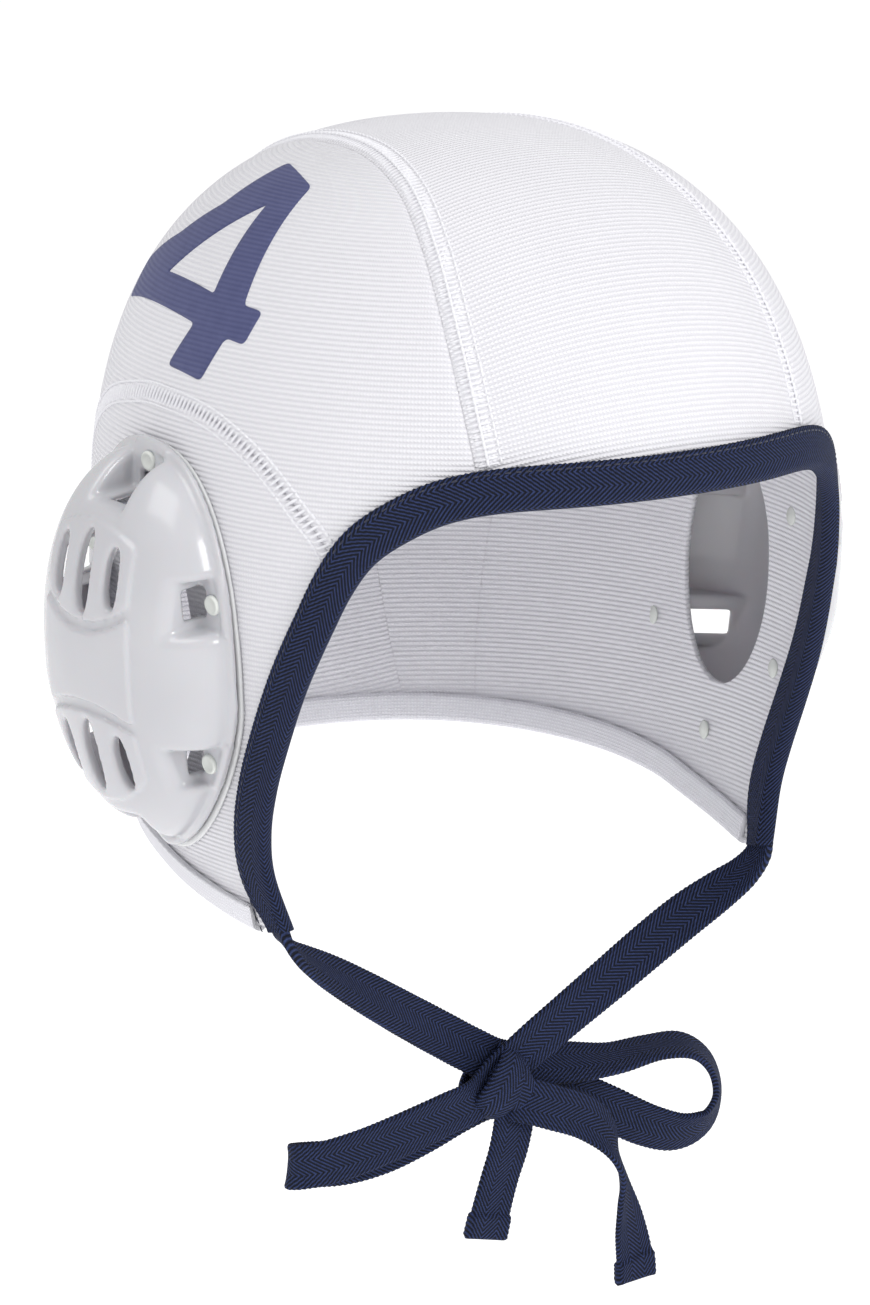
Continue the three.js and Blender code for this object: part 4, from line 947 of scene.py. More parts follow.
insets = [RING_WIDTH, RING_WIDTH - 0.2, 0.4, 0.1, 0.12 - RING_LIP, -RING_LIP]
top_rows = ring_rows([RING_THICKNESS - drop for drop in (0.1, 0, 0, 0, 0.08, 0.3)], insets)
low_rows = ring_rows([0.1, 0, 0, 0, 0.08, 0.3], insets)
ring_uv = np.zeros(top_rows.shape[:2] + (2,))
ring_right = wall_object("clear_ring_right", top_rows, low_rows, ring_uv, wrap=True)
ring_left = both_sides(ring_right, "clear_ring_left")

# %% [markdown]
# ## Rivets and stitches
# What repeats is made once and placed by one tree of geometry nodes. Each copy stands on a point
# that carries two directions and a size: up out of the surface, along its run, and its length,
# width and height. The tree's result is then kept as a plain mesh.

# %% A tree that places copies
def copies_tree():
    tree = bpy.data.node_groups.new("place_copies", "GeometryNodeTree")
    face = tree.interface
    face.new_socket("Places", in_out="INPUT", socket_type="NodeSocketGeometry")
    face.new_socket("Pattern", in_out="INPUT", socket_type="NodeSocketObject")
    face.new_socket("Scale", in_out="INPUT", socket_type="NodeSocketFloat")
    face.new_socket("Finish", in_out="INPUT", socket_type="NodeSocketMaterial")
    face.new_socket("Copies", in_out="OUTPUT", socket_type="NodeSocketGeometry")
    given = tree.nodes.new("NodeGroupInput")
    result = tree.nodes.new("NodeGroupOutput")

    def read(name):
        node = tree.nodes.new("GeometryNodeInputNamedAttribute")
        node.data_type = "FLOAT_VECTOR"
        node.inputs["Name"].default_value = name
        return node.outputs["Attribute"]

    info = tree.nodes.new("GeometryNodeObjectInfo")
    turn = tree.nodes.new("FunctionNodeAxesToRotation")
    turn.primary_axis, turn.secondary_axis = "Z", "X"
    grow = tree.nodes.new("ShaderNodeVectorMath")
    grow.operation = "SCALE"
    copies = tree.nodes.new("GeometryNodeInstanceOnPoints")
    real = tree.nodes.new("GeometryNodeRealizeInstances")
    finish = tree.nodes.new("GeometryNodeSetMaterial")
    for source, target in (
        (given.outputs["Pattern"], info.inputs["Object"]),
        (read("up"), turn.inputs["Primary Axis"]),
        (read("along"), turn.inputs["Secondary Axis"]),
        (read("size"), grow.inputs[0]),
        (given.outputs["Scale"], grow.inputs["Scale"]),
        (given.outputs["Places"], copies.inputs["Points"]),
        (info.outputs["Geometry"], copies.inputs["Instance"]),
        (turn.outputs["Rotation"], copies.inputs["Rotation"]),
        (grow.outputs["Vector"], copies.inputs["Scale"]),
        (copies.outputs["Instances"], real.inputs["Geometry"]),
        (real.outputs["Geometry"], finish.inputs["Geometry"]),
        (given.outputs["Finish"], finish.inputs["Material"]),
        (finish.outputs["Geometry"], result.inputs["Copies"]),
    ):
        tree.links.new(source, target)
    return tree


COPIES = copies_tree()


def place_copies(name, pattern, finish, points, up, along, size):
    """One plain mesh of the pattern's copies at points in millimetres."""
    mesh = bpy.data.meshes.new(name + "_places")
    mesh.from_pydata((np.asarray(points) * MM).tolist(), [], [])
    for key, values in (("up", up), ("along", along), ("size", size)):
        attribute = mesh.attributes.new(key, "FLOAT_VECTOR", "POINT")
        spread = np.broadcast_to(values, np.shape(points)).astype(np.float32)
        attribute.data.foreach_set("vector", spread.ravel())
    host = bpy.data.objects.new(name + "_places", mesh)
    bpy.context.scene.collection.objects.link(host)
    modifier = host.modifiers.new("copies", "NODES")
    modifier.node_group = COPIES
    sockets = {item.name: item.identifier for item in COPIES.interface.items_tree}
    modifier[sockets["Pattern"]] = pattern
    modifier[sockets["Scale"]] = MM
    modifier[sockets["Finish"]] = finish
    bpy.context.view_layer.update()
    evaluated = host.evaluated_get(bpy.context.evaluated_depsgraph_get())
    made = bpy.data.meshes.new_from_object(evaluated)
    made.name = name
    host.modifiers.remove(modifier)
    bpy.data.objects.remove(host)
    piece = bpy.data.objects.new(name, made)
    bpy.context.scene.collection.objects.link(piece)
    print(name, len(points), "copies,", len(made.polygons), "faces")
    return piece


def turned_pattern(name, profile, around):
    """A small turned body about Z from (radius, height) rows, in millimetres."""
    angle = np.linspace(0, 2 * pi, around, endpoint=False)
    rings = np.array([[(r * np.cos(a), r * np.sin(a), z) for a in angle] for r, z in profile])
    return loft_object(name, rings / MM, np.zeros(rings.shape[:2] + (2,)))


THREAD_PROFILE = [  # place along the thread, radius, and rise of its middle
    (-0.5, 0.35, -1.2), (-0.38, 0.9, -0.35), (-0.1, 1.0, 0.0),
    (0.1, 1.0, 0.0), (0.38, 0.9, -0.35), (0.5, 0.35, -1.2),
]
THREAD_SIDES = 6


def thread_pattern(name):
    """A bar of thread of length 1 along X and radius 1, with rounded ends that dip."""
    angle = np.linspace(0, 2 * pi, THREAD_SIDES, endpoint=False)
    rings = np.array([
        [(x, r * np.cos(a), r * np.sin(a) + rise) for a in angle] for x, r, rise in THREAD_PROFILE
    ])
    return loft_object(name, rings / MM, np.zeros(rings.shape[:2] + (2,)))


# %% [markdown]
# ## Materials
# Shader sums are easier to read as sums than as chains of nodes. A small class wraps a socket,
# so that the operators of Python make the maths nodes, and one method makes any other node.
# Patterns that follow the cloth read its UV in metres, and the plastic reads its own place.

# %% Sums of sockets
class Wire:
    """A socket's value, with Python's operators as maths nodes."""

    def __init__(self, finish, socket):
        self.finish, self.socket = finish, socket

    def do(self, operation, *others):
        return self.finish.node("ShaderNodeMath", {"operation": operation}, self, *others)

    def __add__(self, other):
        return self.do("ADD", other)

    def __sub__(self, other):
        return self.do("SUBTRACT", other)

    def __mul__(self, other):
        return self.do("MULTIPLY", other)

    def __truediv__(self, other):
        return self.do("DIVIDE", other)

    def __pow__(self, other):
        return self.do("POWER", other)

    def wave(self):
        """From 0 to 1 and back once in each whole step."""
        return (self * (2 * pi)).do("COSINE") * -0.5 + 0.5


class Finish:
    """A material and its node tree. The shader's constants are set by name when it is made."""

    def __init__(self, name, **constants):
        self.material = bpy.data.materials.new(name)
        self.material.use_nodes = True
        self.tree = self.material.node_tree
        self.shader = next(n for n in self.tree.nodes if n.type == "BSDF_PRINCIPLED")
        for key, value in constants.items():
            self.shader.inputs[key.replace("_", " ")].default_value = value

    def node(self, kind, settings, *values, output=0, sockets=None, **named):
        """Any node: its settings, then its inputs in order, by number or by name."""
        node = self.tree.nodes.new(kind)
        for key, value in settings.items():
            setattr(node, key, value)
        given = {**dict(enumerate(values)), **(sockets or {})}
        given.update((key.replace("_", " "), value) for key, value in named.items())
        for key, value in given.items():
            if isinstance(value, Wire):
                self.tree.links.new(value.socket, node.inputs[key])
            else:
                node.inputs[key].default_value = value
        return Wire(self, node.outputs[output])

    def feed(self, name, value):
        self.tree.links.new(value.socket, self.shader.inputs[name])

    def place(self):
        return self.node("ShaderNodeTexCoord", {}, output="Object")

    def weave(self):
        """The cloth's own u and v, in millimetres."""
        spread = self.node("ShaderNodeUVMap", {"uv_map": "weave"})
        parts = self.tree.nodes.new("ShaderNodeSeparateXYZ")
        self.tree.links.new(spread.socket, parts.inputs[0])
        return Wire(self, parts.outputs[0]) * (1 / MM), Wire(self, parts.outputs[1]) * (1 / MM)

    def noise(self, vector, scale, detail=3.0):
        return self.node("ShaderNodeTexNoise", {}, Vector=vector, Scale=scale, Detail=detail)

    def blend(self, share, low, high):
        """A colour between two, by a share from 0 to 1."""
        return self.node(
            "ShaderNodeMix", {"data_type": "RGBA"}, share, output=2, sockets={6: low, 7: high}
        )

    def bump(self, height, depth, strength=1.0):
        self.feed("Normal", self.node(
            "ShaderNodeBump", {}, Strength=strength, Distance=depth, Height=height
        ))


def linear(r, g, b):
    """A colour from its 0 to 255 screen values."""
    return tuple((c / 255 / 12.92 if c <= 10 else ((c / 255 + 0.055) / 1.055) ** 2.4)
                 for c in (r, g, b)) + (1.0,)


def wear(piece, finish):
    piece.data.materials.clear()
    piece.data.materials.append(finish.material)


# %% [markdown]
# ## Knit, thread and tape
# The knit's ribs stand 1.15 mm apart, and each shows a row of slanted loops. The tape is a
# herringbone twill: its diagonals turn back at each column, and the tops of its yarns are
# painted lighter as a highlight.

# %% Knit, thread and tape
RIB_PITCH = 1.15
LOOP_PITCH = 0.82
knit = Finish("ribbed_knit", Roughness=0.9, Sheen_Weight=0.25, Sheen_Roughness=0.5)
u, v = knit.weave()
rib = v / RIB_PITCH
ridge = rib.wave() ** 0.7
slant = rib.do("PINGPONG", 0.5)
loop = (u / LOOP_PITCH + slant * 1.3).wave() ** 1.5
fuzz = knit.noise(knit.place(), 900.0)
cloth_height = ridge * 0.75 + loop * ridge * 0.45 + fuzz * 0.18
knit.bump(cloth_height, 0.00034, 0.9)
patches = knit.noise(knit.place(), 30.0, 2.0)
# Painted shade: the colour is darker in the grooves between the ribs and between the loops, following the
# bump's heights, with random patches of tone mixed in
painted_groove_shade_and_patches = ridge * 0.55 + loop * ridge * 0.4 + patches * 0.3 - 0.1
knit.feed("Base Color", knit.blend(painted_groove_shade_and_patches.do("MINIMUM", 1.0), linear(224, 223, 229), linear(247, 246, 250)))
knit.feed("Roughness", fuzz * 0.1 + 0.84)

plain = Finish("turned_hem", Roughness=0.9, Sheen_Weight=0.2)
u, v = plain.weave()
HEM_KNIT_PITCH = 0.8
rows = (u / HEM_KNIT_PITCH).wave() * (v / HEM_KNIT_PITCH).wave()
plain.bump(rows + plain.noise(plain.place(), 700.0) * 0.3, 0.0002, 0.8)
# Painted shade: the colour is darker between the knit's rows, following the same pattern as the bump
plain.feed("Base Color", plain.blend(rows * 0.7 + 0.2, linear(222, 221, 228), linear(244, 244, 248)))

thread = Finish("white_thread", Roughness=0.7, Sheen_Weight=0.3)
twist = thread.noise(thread.place(), 2500.0, 1.0)
thread.feed("Base Color", thread.blend(twist, linear(226, 225, 231), linear(250, 250, 253)))
thread.bump(twist, 0.0001, 0.6)

DIAGONAL_PITCH = 0.95
WEFT_PITCH = 0.42
COLUMN = 3.55  # width of a column of diagonals
COLUMNS_ASIDE = 40  # keeps the place across the tape above 0 everywhere
twill = Finish("herringbone_tape", Roughness=0.8, Specular_IOR_Level=0.25)
u, v = twill.weave()
turned = (v + COLUMNS_ASIDE * COLUMN + COLUMN / 2).do("PINGPONG", COLUMN)
diagonal = (u * 0.8 + turned) / DIAGONAL_PITCH
yarn = diagonal.wave()
fibre = twill.noise(twill.place(), 1600.0, 2.0)
pick = (u / WEFT_PITCH).wave()
twill.bump(yarn * 0.8 + pick * 0.25 + fibre * 0.25, 0.0003, 1.0)
# Painted highlight: the tops of the diagonal yarns and the weft picks are lighter, following the bump, with
# random fibre tone mixed in
painted_highlight_and_fibre_tone = yarn ** 1.5 * (fibre * 1.2 + 0.2) + pick * 0.12 - 0.08
twill.feed("Base Color", twill.blend(painted_highlight_and_fibre_tone.do("MINIMUM", 1.0), linear(5, 8, 20), linear(52, 66, 112)))
twill.feed("Roughness", fibre * 0.2 + 0.7)

navy_thread = Finish("navy_thread", Roughness=0.6, Sheen_Weight=0.3)
twist = navy_thread.noise(navy_thread.place(), 2500.0, 1.0)
navy_thread.feed("Base Color", navy_thread.blend(twist, linear(14, 17, 36), linear(30, 37, 66)))

ink = Finish("printed_numeral", Roughness=0.55)
_, v = ink.weave()
rib_through = (v / RIB_PITCH).wave()
rub = ink.noise(ink.place(), 260.0, 4.0)
cover = (rib_through * 0.5 + rub * 0.7).do("MINIMUM", 1.0)
ink.feed("Base Color", ink.blend(cover, linear(84, 89, 132), linear(62, 67, 112)))
ink.bump(rib_through * 0.8 + rub * 0.3, 0.00025, 0.7)

# %% Plastics and the floor
plastic = Finish(
    "guard_plastic", Roughness=0.22, IOR=1.5, Coat_Weight=0.35, Coat_Roughness=0.08,
    Subsurface_Weight=0.08, Subsurface_Scale=0.004,
)
grain = plastic.noise(plastic.place(), 420.0, 3.0)
cloud = plastic.noise(plastic.place(), 45.0, 2.0)
plastic.feed("Base Color", plastic.blend(cloud, linear(192, 192, 197), linear(202, 202, 206)))
plastic.feed("Roughness", grain * 0.12 + 0.17)
plastic.bump(plastic.noise(plastic.place(), 130.0, 2.0), 0.0002, 0.25)

rivet_plastic = Finish("rivet_plastic", Roughness=0.35, IOR=1.48, Coat_Weight=0.2)
cloud = rivet_plastic.noise(rivet_plastic.place(), 300.0)
rivet_plastic.feed("Base Color", rivet_plastic.blend(cloud, linear(214, 218, 212), linear(232, 234, 230)))
rivet_plastic.feed("Roughness", cloud * 0.2 + 0.25)

clear = Finish("clear_ring", Roughness=0.2, IOR=1.45, Transmission_Weight=0.2)
cloud = clear.noise(clear.place(), 200.0)
clear.feed("Base Color", clear.blend(cloud, linear(236, 237, 238), linear(246, 247, 247)))
clear.feed("Roughness", cloud * 0.15 + 0.12)

floor_finish = Finish("studio_floor", Roughness=0.75, Emission_Strength=0.42)
cloud = floor_finish.noise(floor_finish.place(), 3.0)
floor_finish.feed("Base Color", floor_finish.blend(cloud, linear(248, 248, 249), linear(253, 253, 254)))
floor_finish.feed("Emission Color", floor_finish.blend(cloud, linear(252, 252, 252), linear(254, 254, 254)))

for piece in (crown_panel, side_panel_right, side_panel_left, ear_flap_right, ear_flap_left):
    wear(piece, knit)
wear(nape_hem, plain)
for piece in (edge_binding, tie_right, tie_left):
    wear(piece, twill)
for piece in (ear_guard_right, ear_guard_left):
    wear(piece, plastic)
for piece in (ring_right, ring_left):
    wear(piece, clear)

# %% [markdown]
# ## Rivets
# A rivet's head is a low dish with a rounded border, and its shank runs through the rim and the
# cloth to a flat head inside. All twelve come out of the tree as one piece.

# %% Rivets
RIVET_PROFILE = [
    (0.02, 0.62), (0.9, 0.66), (1.5, 0.86), (1.85, 1.0), (2.12, 0.92), (2.28, 0.6), (2.3, 0.25),
    (2.2, 0.05), (1.1, 0.0), (1.1, -4.35), (2.1, -4.4), (2.3, -4.7), (1.9, -5.05), (0.02, -5.2),
]
rivet_pattern = turned_pattern("rivet_pattern", RIVET_PROFILE, 20)
rivet_places, rivet_up, rivet_along = [], [], []
for (w, v), *_ in POCKETS:
    rest = float(seat_height(np.array(w), np.array(v), SEAT_LEVEL)) + GUARD_RIM + 0.15
    at = guard_point(np.array(w), np.array(v), np.array(rest))
    for mirror in (np.array([1, 1, 1]), np.array([-1, 1, 1])):
        rivet_places.append(at * mirror)
        rivet_up.append(n_axis * mirror)
        rivet_along.append(w_axis)
rivets = place_copies(
    "rivets", rivet_pattern, rivet_plastic.material,
    rivet_places, np.array(rivet_up), np.array(rivet_along), [1.0, 1.0, 1.0],
)
bpy.data.objects.remove(rivet_pattern)

# %% [markdown]
# ## Stitches
# The centre seams are overlocked: a ladder of rungs lies on the centre panel's side, with a chain
# down its middle. The arched seams have a ladder across the seam and a line along each side.
# The tape has one line of fine stitches near its inner edge.

# %% Stitches
thread_bar = thread_pattern("thread_pattern")


def even_places(points, step):
    along = lengths_along(points)
    wanted = np.arange(step / 2, along[-1] - step / 2, step)
    return np.stack([np.interp(wanted, along, column) for column in points.T], axis=1)


def stitch_row(points, step, length, radius, shift=0.0, turn=0.0, lift=0.12, out=CLOTH):
    """Places, directions and sizes of threads along a run of points on the head."""
    at = even_places(points, step)
    run = unit(np.gradient(at, axis=0))
    up = head_normal(at)
    to_left = unit(np.cross(up, run))
    base = on_head(at + to_left * shift, out)
    up = head_normal(base)
    along = run * cos(turn) + to_left * sin(turn)
    size = np.broadcast_to([length, radius, radius], base.shape)
    return base + up * lift, up, along, size


def gathered(rows):
    """All rows as one set, with their twins on the wearer's left."""
    points, up, along, size = (np.concatenate(part) for part in zip(*rows))
    flip = np.array([-1.0, 1.0, 1.0])
    return (
        np.concatenate([points, points * flip]), np.concatenate([up, up * flip]),
        np.concatenate([along, along * flip]), np.concatenate([size, size]),
    )


SEAM_LADDER, SEAM_CHAIN, ARCH_LADDER = 1.25, 1.9, 1.55  # steps from one stitch to the next
MIDWAY = 70  # a point of the seam's line about halfway
seam_line = over_head(-seam_half(side_over), side_over)[4:-4]
toward_crown = np.sign((aside(seam_line, 1.0)[MIDWAY] - seam_line[MIDWAY])[0])
rows = [
    stitch_row(
        seam_line, SEAM_LADDER, length=5.0, radius=0.34, shift=toward_crown * 3.1, turn=pi / 2, lift=0.0
    ),
    stitch_row(seam_line, SEAM_CHAIN, length=2.15, radius=0.34, shift=toward_crown * 3.0, lift=0.42),
    stitch_row(seam_line, SEAM_CHAIN, length=1.75, radius=0.26, shift=toward_crown * 5.9, lift=0.12),
]
arch_line = on_head(arch_seam(np.linspace(0.02, 0.98, 300)), CLOTH / 2)
rows.append(stitch_row(arch_line, ARCH_LADDER, length=4.3, radius=0.36, turn=pi / 2 - 0.3, lift=-0.02))
for side_shift in (2.3, -2.3):
    rows.append(stitch_row(arch_line, ARCH_LADDER, length=1.5, radius=0.3, shift=side_shift, lift=0.14))
nape_line = across_wearer(nape_edge, 1, np.linspace(1 - hem_start, hem_start, 500))
stitches_white = place_copies("seam_stitches", thread_bar, thread.material, *gathered(rows))
at_nape = len(nape_line) // 2
hem_up = np.sign((aside(nape_line, 1.0)[at_nape] - nape_line[at_nape])[2])
hem_row = stitch_row(
    nape_line, 2.4, length=1.9, radius=0.18, shift=hem_up * 4.2, lift=0.1, out=TAPE_OUTSIDE
)
hem_stitches = place_copies("hem_stitches", thread_bar, thread.material, *hem_row)
from_fold = (BINDING_WIDTH - TAPE_GAP - TAPE) * 0.86
tape_row = stitch_row(
    whole_face, 2.1, length=1.6, radius=0.15, shift=from_fold, lift=0.1, out=TAPE_OUTSIDE
)
tape_stitches = place_copies("tape_stitches", thread_bar, navy_thread.material, *tape_row)
bpy.data.objects.remove(thread_bar)

# %% [markdown]
# ## The knot
# The bow's knot is a wrap of the same tape over the crossing of both ties. It is made as a loop
# of tape about a small core, tilted as the last turn of a bow lies.

# %% The knot
KNOT_CENTRE = np.array([0.0, -13.2, -219.2])
CORE_HALF_WIDTH, CORE_HALF_DEPTH, CORE_HALF_HEIGHT = 6.1, 4.3, 6.0
CORE_RINGS, CORE_AROUND = 18, 32
WRAP_SWELL = 0.9  # a wrap's middle stands that much prouder than its edges
ROUND_SHARE = 0.82  # 1 is an oval wrap, less is squarer


def wrap_rings(centre, tilt, half_along, half_deep, width, thickness, squeeze):
    """A closed loop of tape: its long way is tilted in the upright plane, in degrees."""
    long_way = np.array([sin(radians(tilt)), 0.0, cos(radians(tilt))])
    across = np.array([cos(radians(tilt)), 0.0, -sin(radians(tilt))])
    depth = np.array([0.0, 1.0, 0.0])
    turn = np.linspace(0, 2 * pi, 120, endpoint=False)
    c, s = np.cos(turn), np.sin(turn)
    a = half_along * np.sign(c) * np.abs(c) ** ROUND_SHARE
    b = half_deep * np.sign(s) * np.abs(s) ** ROUND_SHARE
    middle = centre + a[:, None] * long_way + b[:, None] * depth
    run = unit(np.roll(middle, -1, axis=0) - np.roll(middle, 1, axis=0))
    outward = unit(np.cross(run, across))
    outward *= np.sign(np.einsum("ij,ij->i", outward, middle - centre))[:, None]
    tight = 1 - squeeze * np.abs(c) ** 4
    rings = (
        middle[:, None, :]
        + across * (tight[:, None] * TAPE_SECTION[:, 0] * width / 2)[:, :, None]
        + outward[:, None, :] * (
            TAPE_SECTION[:, 1] * thickness / 2 + WRAP_SWELL * (1 - TAPE_SECTION[:, 0] ** 2)
        )[None, :, None]
    )
    step = np.linalg.norm(np.diff(middle, axis=0), axis=1)
    around = np.concatenate([[0.0], np.cumsum(step)])
    uv = np.empty(rings.shape[:2] + (2,))
    uv[..., 0] = around[:, None] * MM
    uv[..., 1] = TAPE_SECTION[:, 0] * width / 2 * MM
    return rings, uv


def knot_piece():
    points, spreads, faces, first = [], [], [], 0
    wraps = [
        wrap_rings(
            KNOT_CENTRE + [-1.6, 0.1, 0.3], tilt=38, half_along=7.3, half_deep=5.2,
            width=9.6, thickness=TIE_THICKNESS, squeeze=0.25,
        ),
        wrap_rings(
            KNOT_CENTRE + [1.8, -0.2, -0.6], tilt=-28, half_along=5.6, half_deep=4.5,
            width=8.6, thickness=TIE_THICKNESS, squeeze=0.3,
        ),
    ]
    for rings, uv in wraps:
        count, around = rings.shape[:2]
        side = quad_grid(count, around, wrap=True)
        j = np.arange(around)
        k = (j + 1) % around
        last = (count - 1) * around
        closing = np.stack([last + j, j, k, last + k], axis=1)
        side = np.concatenate([side, closing])
        if signed_volume(rings.reshape(-1, 3), [side]) < 0:
            side = side[:, ::-1]
        points.append(rings.reshape(-1, 3))
        spreads.append(uv.reshape(-1, 2))
        faces.append(side + first)
        first += count * around
    rise = np.linspace(-pi / 2 + 0.06, pi / 2 - 0.06, CORE_RINGS)[:, None]
    turn = np.linspace(0, 2 * pi, CORE_AROUND, endpoint=False)
    core = np.stack([
        CORE_HALF_WIDTH * np.cos(rise) * np.cos(turn), CORE_HALF_DEPTH * np.cos(rise) * np.sin(turn),
        CORE_HALF_HEIGHT * np.sin(rise) + 0 * turn,
    ], axis=-1) + KNOT_CENTRE
    side = quad_grid(CORE_RINGS, CORE_AROUND, wrap=True)
    first_ring = np.arange(CORE_AROUND)[None, :]
    ends = [first_ring[:, ::-1], first_ring + (CORE_RINGS - 1) * CORE_AROUND]
    if signed_volume(core.reshape(-1, 3), [side]) < 0:
        side, ends = side[:, ::-1], [end[:, ::-1] for end in ends]
    points.append(core.reshape(-1, 3))
    spread = np.stack([turn * 5.0 + 0 * rise, rise * CORE_HALF_HEIGHT + 0 * turn], axis=-1)
    spreads.append(spread.reshape(-1, 2) * MM)
    faces.append(side + first)
    return mesh_object(
        "knot_wrap", np.concatenate(points), [*faces, *(end + first for end in ends)],
        np.concatenate(spreads), closed=False,
    )


knot = knot_piece()
wear(knot, twill)

# %% [markdown]
# ## The printed numeral
# A player's number is printed on each side and reads right on both. Its outline is drawn on the
# unrolled side of the cap, as forward and down over the head, with rounded corners, and the ink
# lies on the cloth.

# %% The printed numeral
ROLL_RADIUS = 98.0
NUMERAL = [
    (-7.9, 37.2), (10.4, 42.6), (13.4, 57.5), (16.4, 73.5), (23.0, 73.2), (21.2, 81.6),
    (14.6, 81.6), (10.0, 92.6), (-4.7, 91.2), (1.1, 80.6), (-46.2, 74.1), (-46.7, 63.4),
    (-29.0, 59.3), (-16.4, 51.6),
]
NUMERAL_HOLE = [(2.2, 50.2), (4.0, 73.1), (-21.8, 69.9)]
NUMERAL_STEP = 1.5
OUTER_ROUNDING, HOLE_ROUNDING = 1.6, 1.0
INK_TOP, INK_LOW = CLOTH + 0.15, CLOTH - 0.05  # above the head's surface


def rounded_outline(corners, radius):
    """The polygon's outline with each corner rounded by a short curve."""
    corners = np.asarray(corners, dtype=float)
    points = []
    for before, corner, after in zip(np.roll(corners, 1, axis=0), corners, np.roll(corners, -1, axis=0)):
        to_before, to_after = before - corner, after - corner
        reach = min(radius, 0.45 * np.linalg.norm(to_before), 0.45 * np.linalg.norm(to_after))
        start, end = corner + unit(to_before) * reach, corner + unit(to_after) * reach
        for t in np.linspace(0, 1, 6):
            points.append((1 - t) ** 2 * start + 2 * t * (1 - t) * corner + t**2 * end)
    return np.array(points)


def filled_in(points, step):
    """Extra points on the long sides of an outline."""
    out = []
    for a, b in zip(points, np.roll(points, -1, axis=0)):
        pieces = max(1, int(np.linalg.norm(b - a) / step))
        out += [a + (b - a) * k / pieces for k in range(pieces)]
    return np.array(out)


def inside_outline(points, outline):
    x, y = points[:, 0][:, None], points[:, 1][:, None]
    x0, y0 = outline[:, 0], outline[:, 1]
    x1, y1 = np.roll(x0, -1), np.roll(y0, -1)
    crossing = (y0 > y) != (y1 > y)
    where = x0 + (y - y0) * (x1 - x0) / np.where(y1 == y0, 1e-9, y1 - y0)
    return (np.sum(crossing & (x < where), axis=1) % 2) == 1


def numeral_piece(name, outline, hole_outline):
    outer = filled_in(rounded_outline(outline, OUTER_ROUNDING), NUMERAL_STEP)
    hole = filled_in(rounded_outline(hole_outline, HOLE_ROUNDING), NUMERAL_STEP)
    low, high = outer.min(axis=0), outer.max(axis=0)
    mesh_points = np.stack(np.meshgrid(
        np.arange(low[0], high[0], NUMERAL_STEP), np.arange(low[1], high[1], NUMERAL_STEP), indexing="ij"
    ), axis=-1).reshape(-1, 2)
    kept = inside_outline(mesh_points, outer) & ~inside_outline(mesh_points, hole)
    flat = np.concatenate([outer, hole, mesh_points[kept]])
    n, m = len(outer), len(hole)
    edges = [(i, (i + 1) % n) for i in range(n)] + [(n + i, n + (i + 1) % m) for i in range(m)]
    made = delaunay_2d_cdt([Vector(p) for p in flat], edges, [], 0, 1e-6)
    flat = np.array([tuple(p) for p in made[0]])
    faces = np.array([face for face in made[2] if len(face) == 3])
    middles = flat[faces].mean(axis=1)
    faces = faces[inside_outline(middles, outer) & ~inside_outline(middles, hole)]
    phi = flat[:, 1] / ROLL_RADIUS
    start = np.stack([0 * phi, -flat[:, 0], 0 * phi - CROWN_DEPTH], axis=-1)
    direction = np.stack([-np.sin(phi), 0 * phi, np.cos(phi)], axis=-1)
    top_face, low_face = cast_out(start, direction, INK_TOP), cast_out(start, direction, INK_LOW)
    runs = faces[:, [0, 1, 1, 2, 2, 0]].reshape(-1, 2)
    sides = np.sort(runs, axis=1)
    _, inverse, counts = np.unique(sides, axis=0, return_inverse=True, return_counts=True)
    rim = runs[counts[inverse.ravel()] == 1]
    total = len(flat)
    walls = np.stack([rim[:, 1], rim[:, 0], rim[:, 0] + total, rim[:, 1] + total], axis=1)
    points = np.concatenate([top_face, low_face])
    return mesh_object(name, points, [faces, faces[:, ::-1] + total, walls], side_weave(points))


def back_to_front(outline):
    """The outline turned over in its place, so that it reads right once it is on the other side."""
    lowest, highest = min(x for x, y in NUMERAL), max(x for x, y in NUMERAL)
    return [(lowest + highest - x, y) for x, y in outline]


numeral_right = numeral_piece("numeral_right", NUMERAL, NUMERAL_HOLE)
numeral_left = numeral_piece("numeral_left", back_to_front(NUMERAL), back_to_front(NUMERAL_HOLE))
to_the_left(numeral_left.data)
for numeral in (numeral_right, numeral_left):
    wear(numeral, ink)
print("numeral", len(numeral_right.data.polygons), "faces")
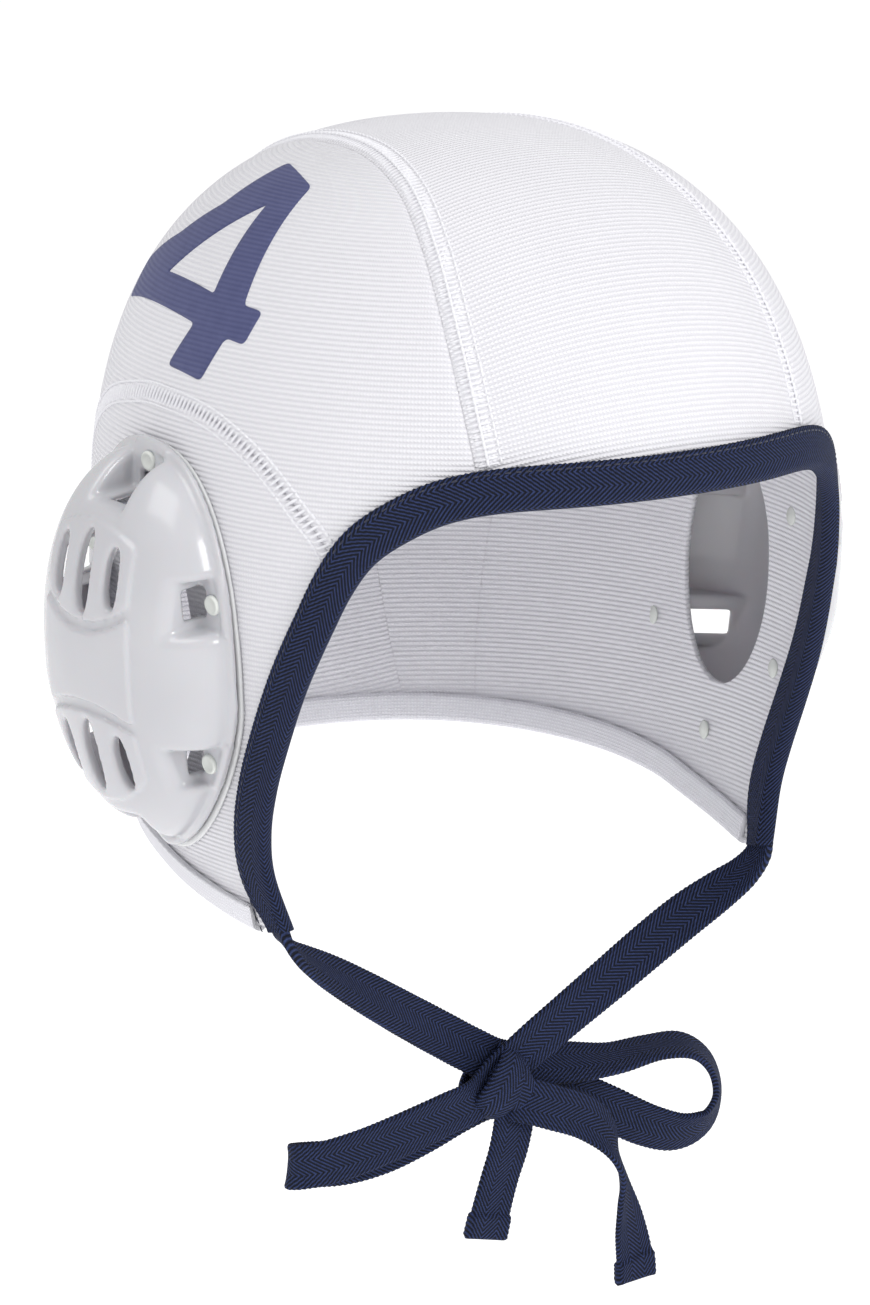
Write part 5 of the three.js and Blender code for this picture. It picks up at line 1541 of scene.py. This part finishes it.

# %% [markdown]
# ## What stands for what
# Every piece rides on the one body, since the cap has no joint. Each says which solids it stands
# for and which of the record's finishes it takes.

# %% What stands for what
ROOT = "root"
STANDS_FOR = [
    (crown_panel, "white_fabric", ["crown_panel"]),
    (side_panel_right, "white_fabric", ["side_panel_right"]),
    (side_panel_left, "white_fabric", ["side_panel_left"]),
    (ear_flap_right, "white_fabric", ["ear_flap_right"]),
    (ear_flap_left, "white_fabric", ["ear_flap_left"]),
    (edge_binding, "navy_tape", ["edge_binding"]),
    (nape_hem, "white_fabric", ["nape_hem"]),
    (ear_guard_right, "guard_plastic", ["ear_guard_right"]),
    (ear_guard_left, "guard_plastic", ["ear_guard_left"]),
    (ring_right, "clear_ring", ["seat_ring_right"]),
    (ring_left, "clear_ring", ["seat_ring_left"]),
    (rivets, "rivet_plastic", [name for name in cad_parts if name.startswith("rivet_")]),
    (tie_right, "navy_tape", ["tie_strap_right", "bow_loop_left", "tie_tail_short"]),
    (tie_left, "navy_tape", ["tie_strap_left", "bow_loop_right", "tie_tail_long"]),
    (knot, "navy_tape", ["tie_knot"]),
    (stitches_white, "white_fabric", []),
    (hem_stitches, "white_fabric", []),
    (tape_stitches, "navy_tape", []),
    (numeral_right, "navy_tape", []),
    (numeral_left, "navy_tape", []),
]
for piece, slot, nodes in STANDS_FOR:
    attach(piece, ROOT)
    if nodes:
        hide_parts(*nodes)


def cord_of(path, length):
    points = [tuple(p) for p in (path[:: max(1, len(path) // 60)] * MM).tolist()]
    last = tuple((path[-1] * MM).tolist())
    if points[-1] != last:
        points.append(last)
    length * MM


cord_of(right_path, right_length)
cord_of(left_path, left_length)

# %% [markdown]
# ## Light, floor and background
# The product picture has an even white background and soft light from both sides, with a large
# soft box to the viewer's right that shows in the plastic.

# %% Light, floor and background
FLOOR_DROP = 0.09  # the floor lies that far below the lowest tie
FLOOR_SIZE = 6.0
LAMPS_LOOK_AT = Vector((0, 0, -0.11))
low_corner, high_corner = (np.array(corner) for corner in cad_box)
floor_z = low_corner[2] - FLOOR_DROP
bpy.ops.mesh.primitive_plane_add(size=FLOOR_SIZE, location=(0, 0, 0))
floor = bpy.context.object
floor.name = "floor"
floor.data.transform(Matrix.Translation((0, 0, floor_z)))
wear(floor, floor_finish)

world = bpy.data.worlds.new("studio")
bpy.context.scene.world = world
world.use_nodes = True
background = next(n for n in world.node_tree.nodes if n.type == "BACKGROUND")
background.inputs["Color"].default_value = (1.0, 1.0, 1.0, 1.0)
background.inputs["Strength"].default_value = 0.66


def soft_box(name, place, size, watts):
    data = bpy.data.lights.new(name, "AREA")
    data.shape = "RECTANGLE"
    data.size, data.size_y = size
    data.energy = watts
    lamp = bpy.data.objects.new(name, data)
    toward = LAMPS_LOOK_AT - Vector(place)
    lamp.matrix_world = Matrix.Translation(place) @ toward.to_track_quat("-Z", "Y").to_matrix().to_4x4()
    bpy.context.scene.collection.objects.link(lamp)


soft_box("key", (0.35, -1.15, 0.45), (0.35, 0.55), 5.6)
soft_box("top_left", (-0.55, -0.2, 1.0), (0.8, 0.8), 4.6)

# A plain display curve keeps the white ground white
bpy.context.scene.view_settings.view_transform = "Standard"
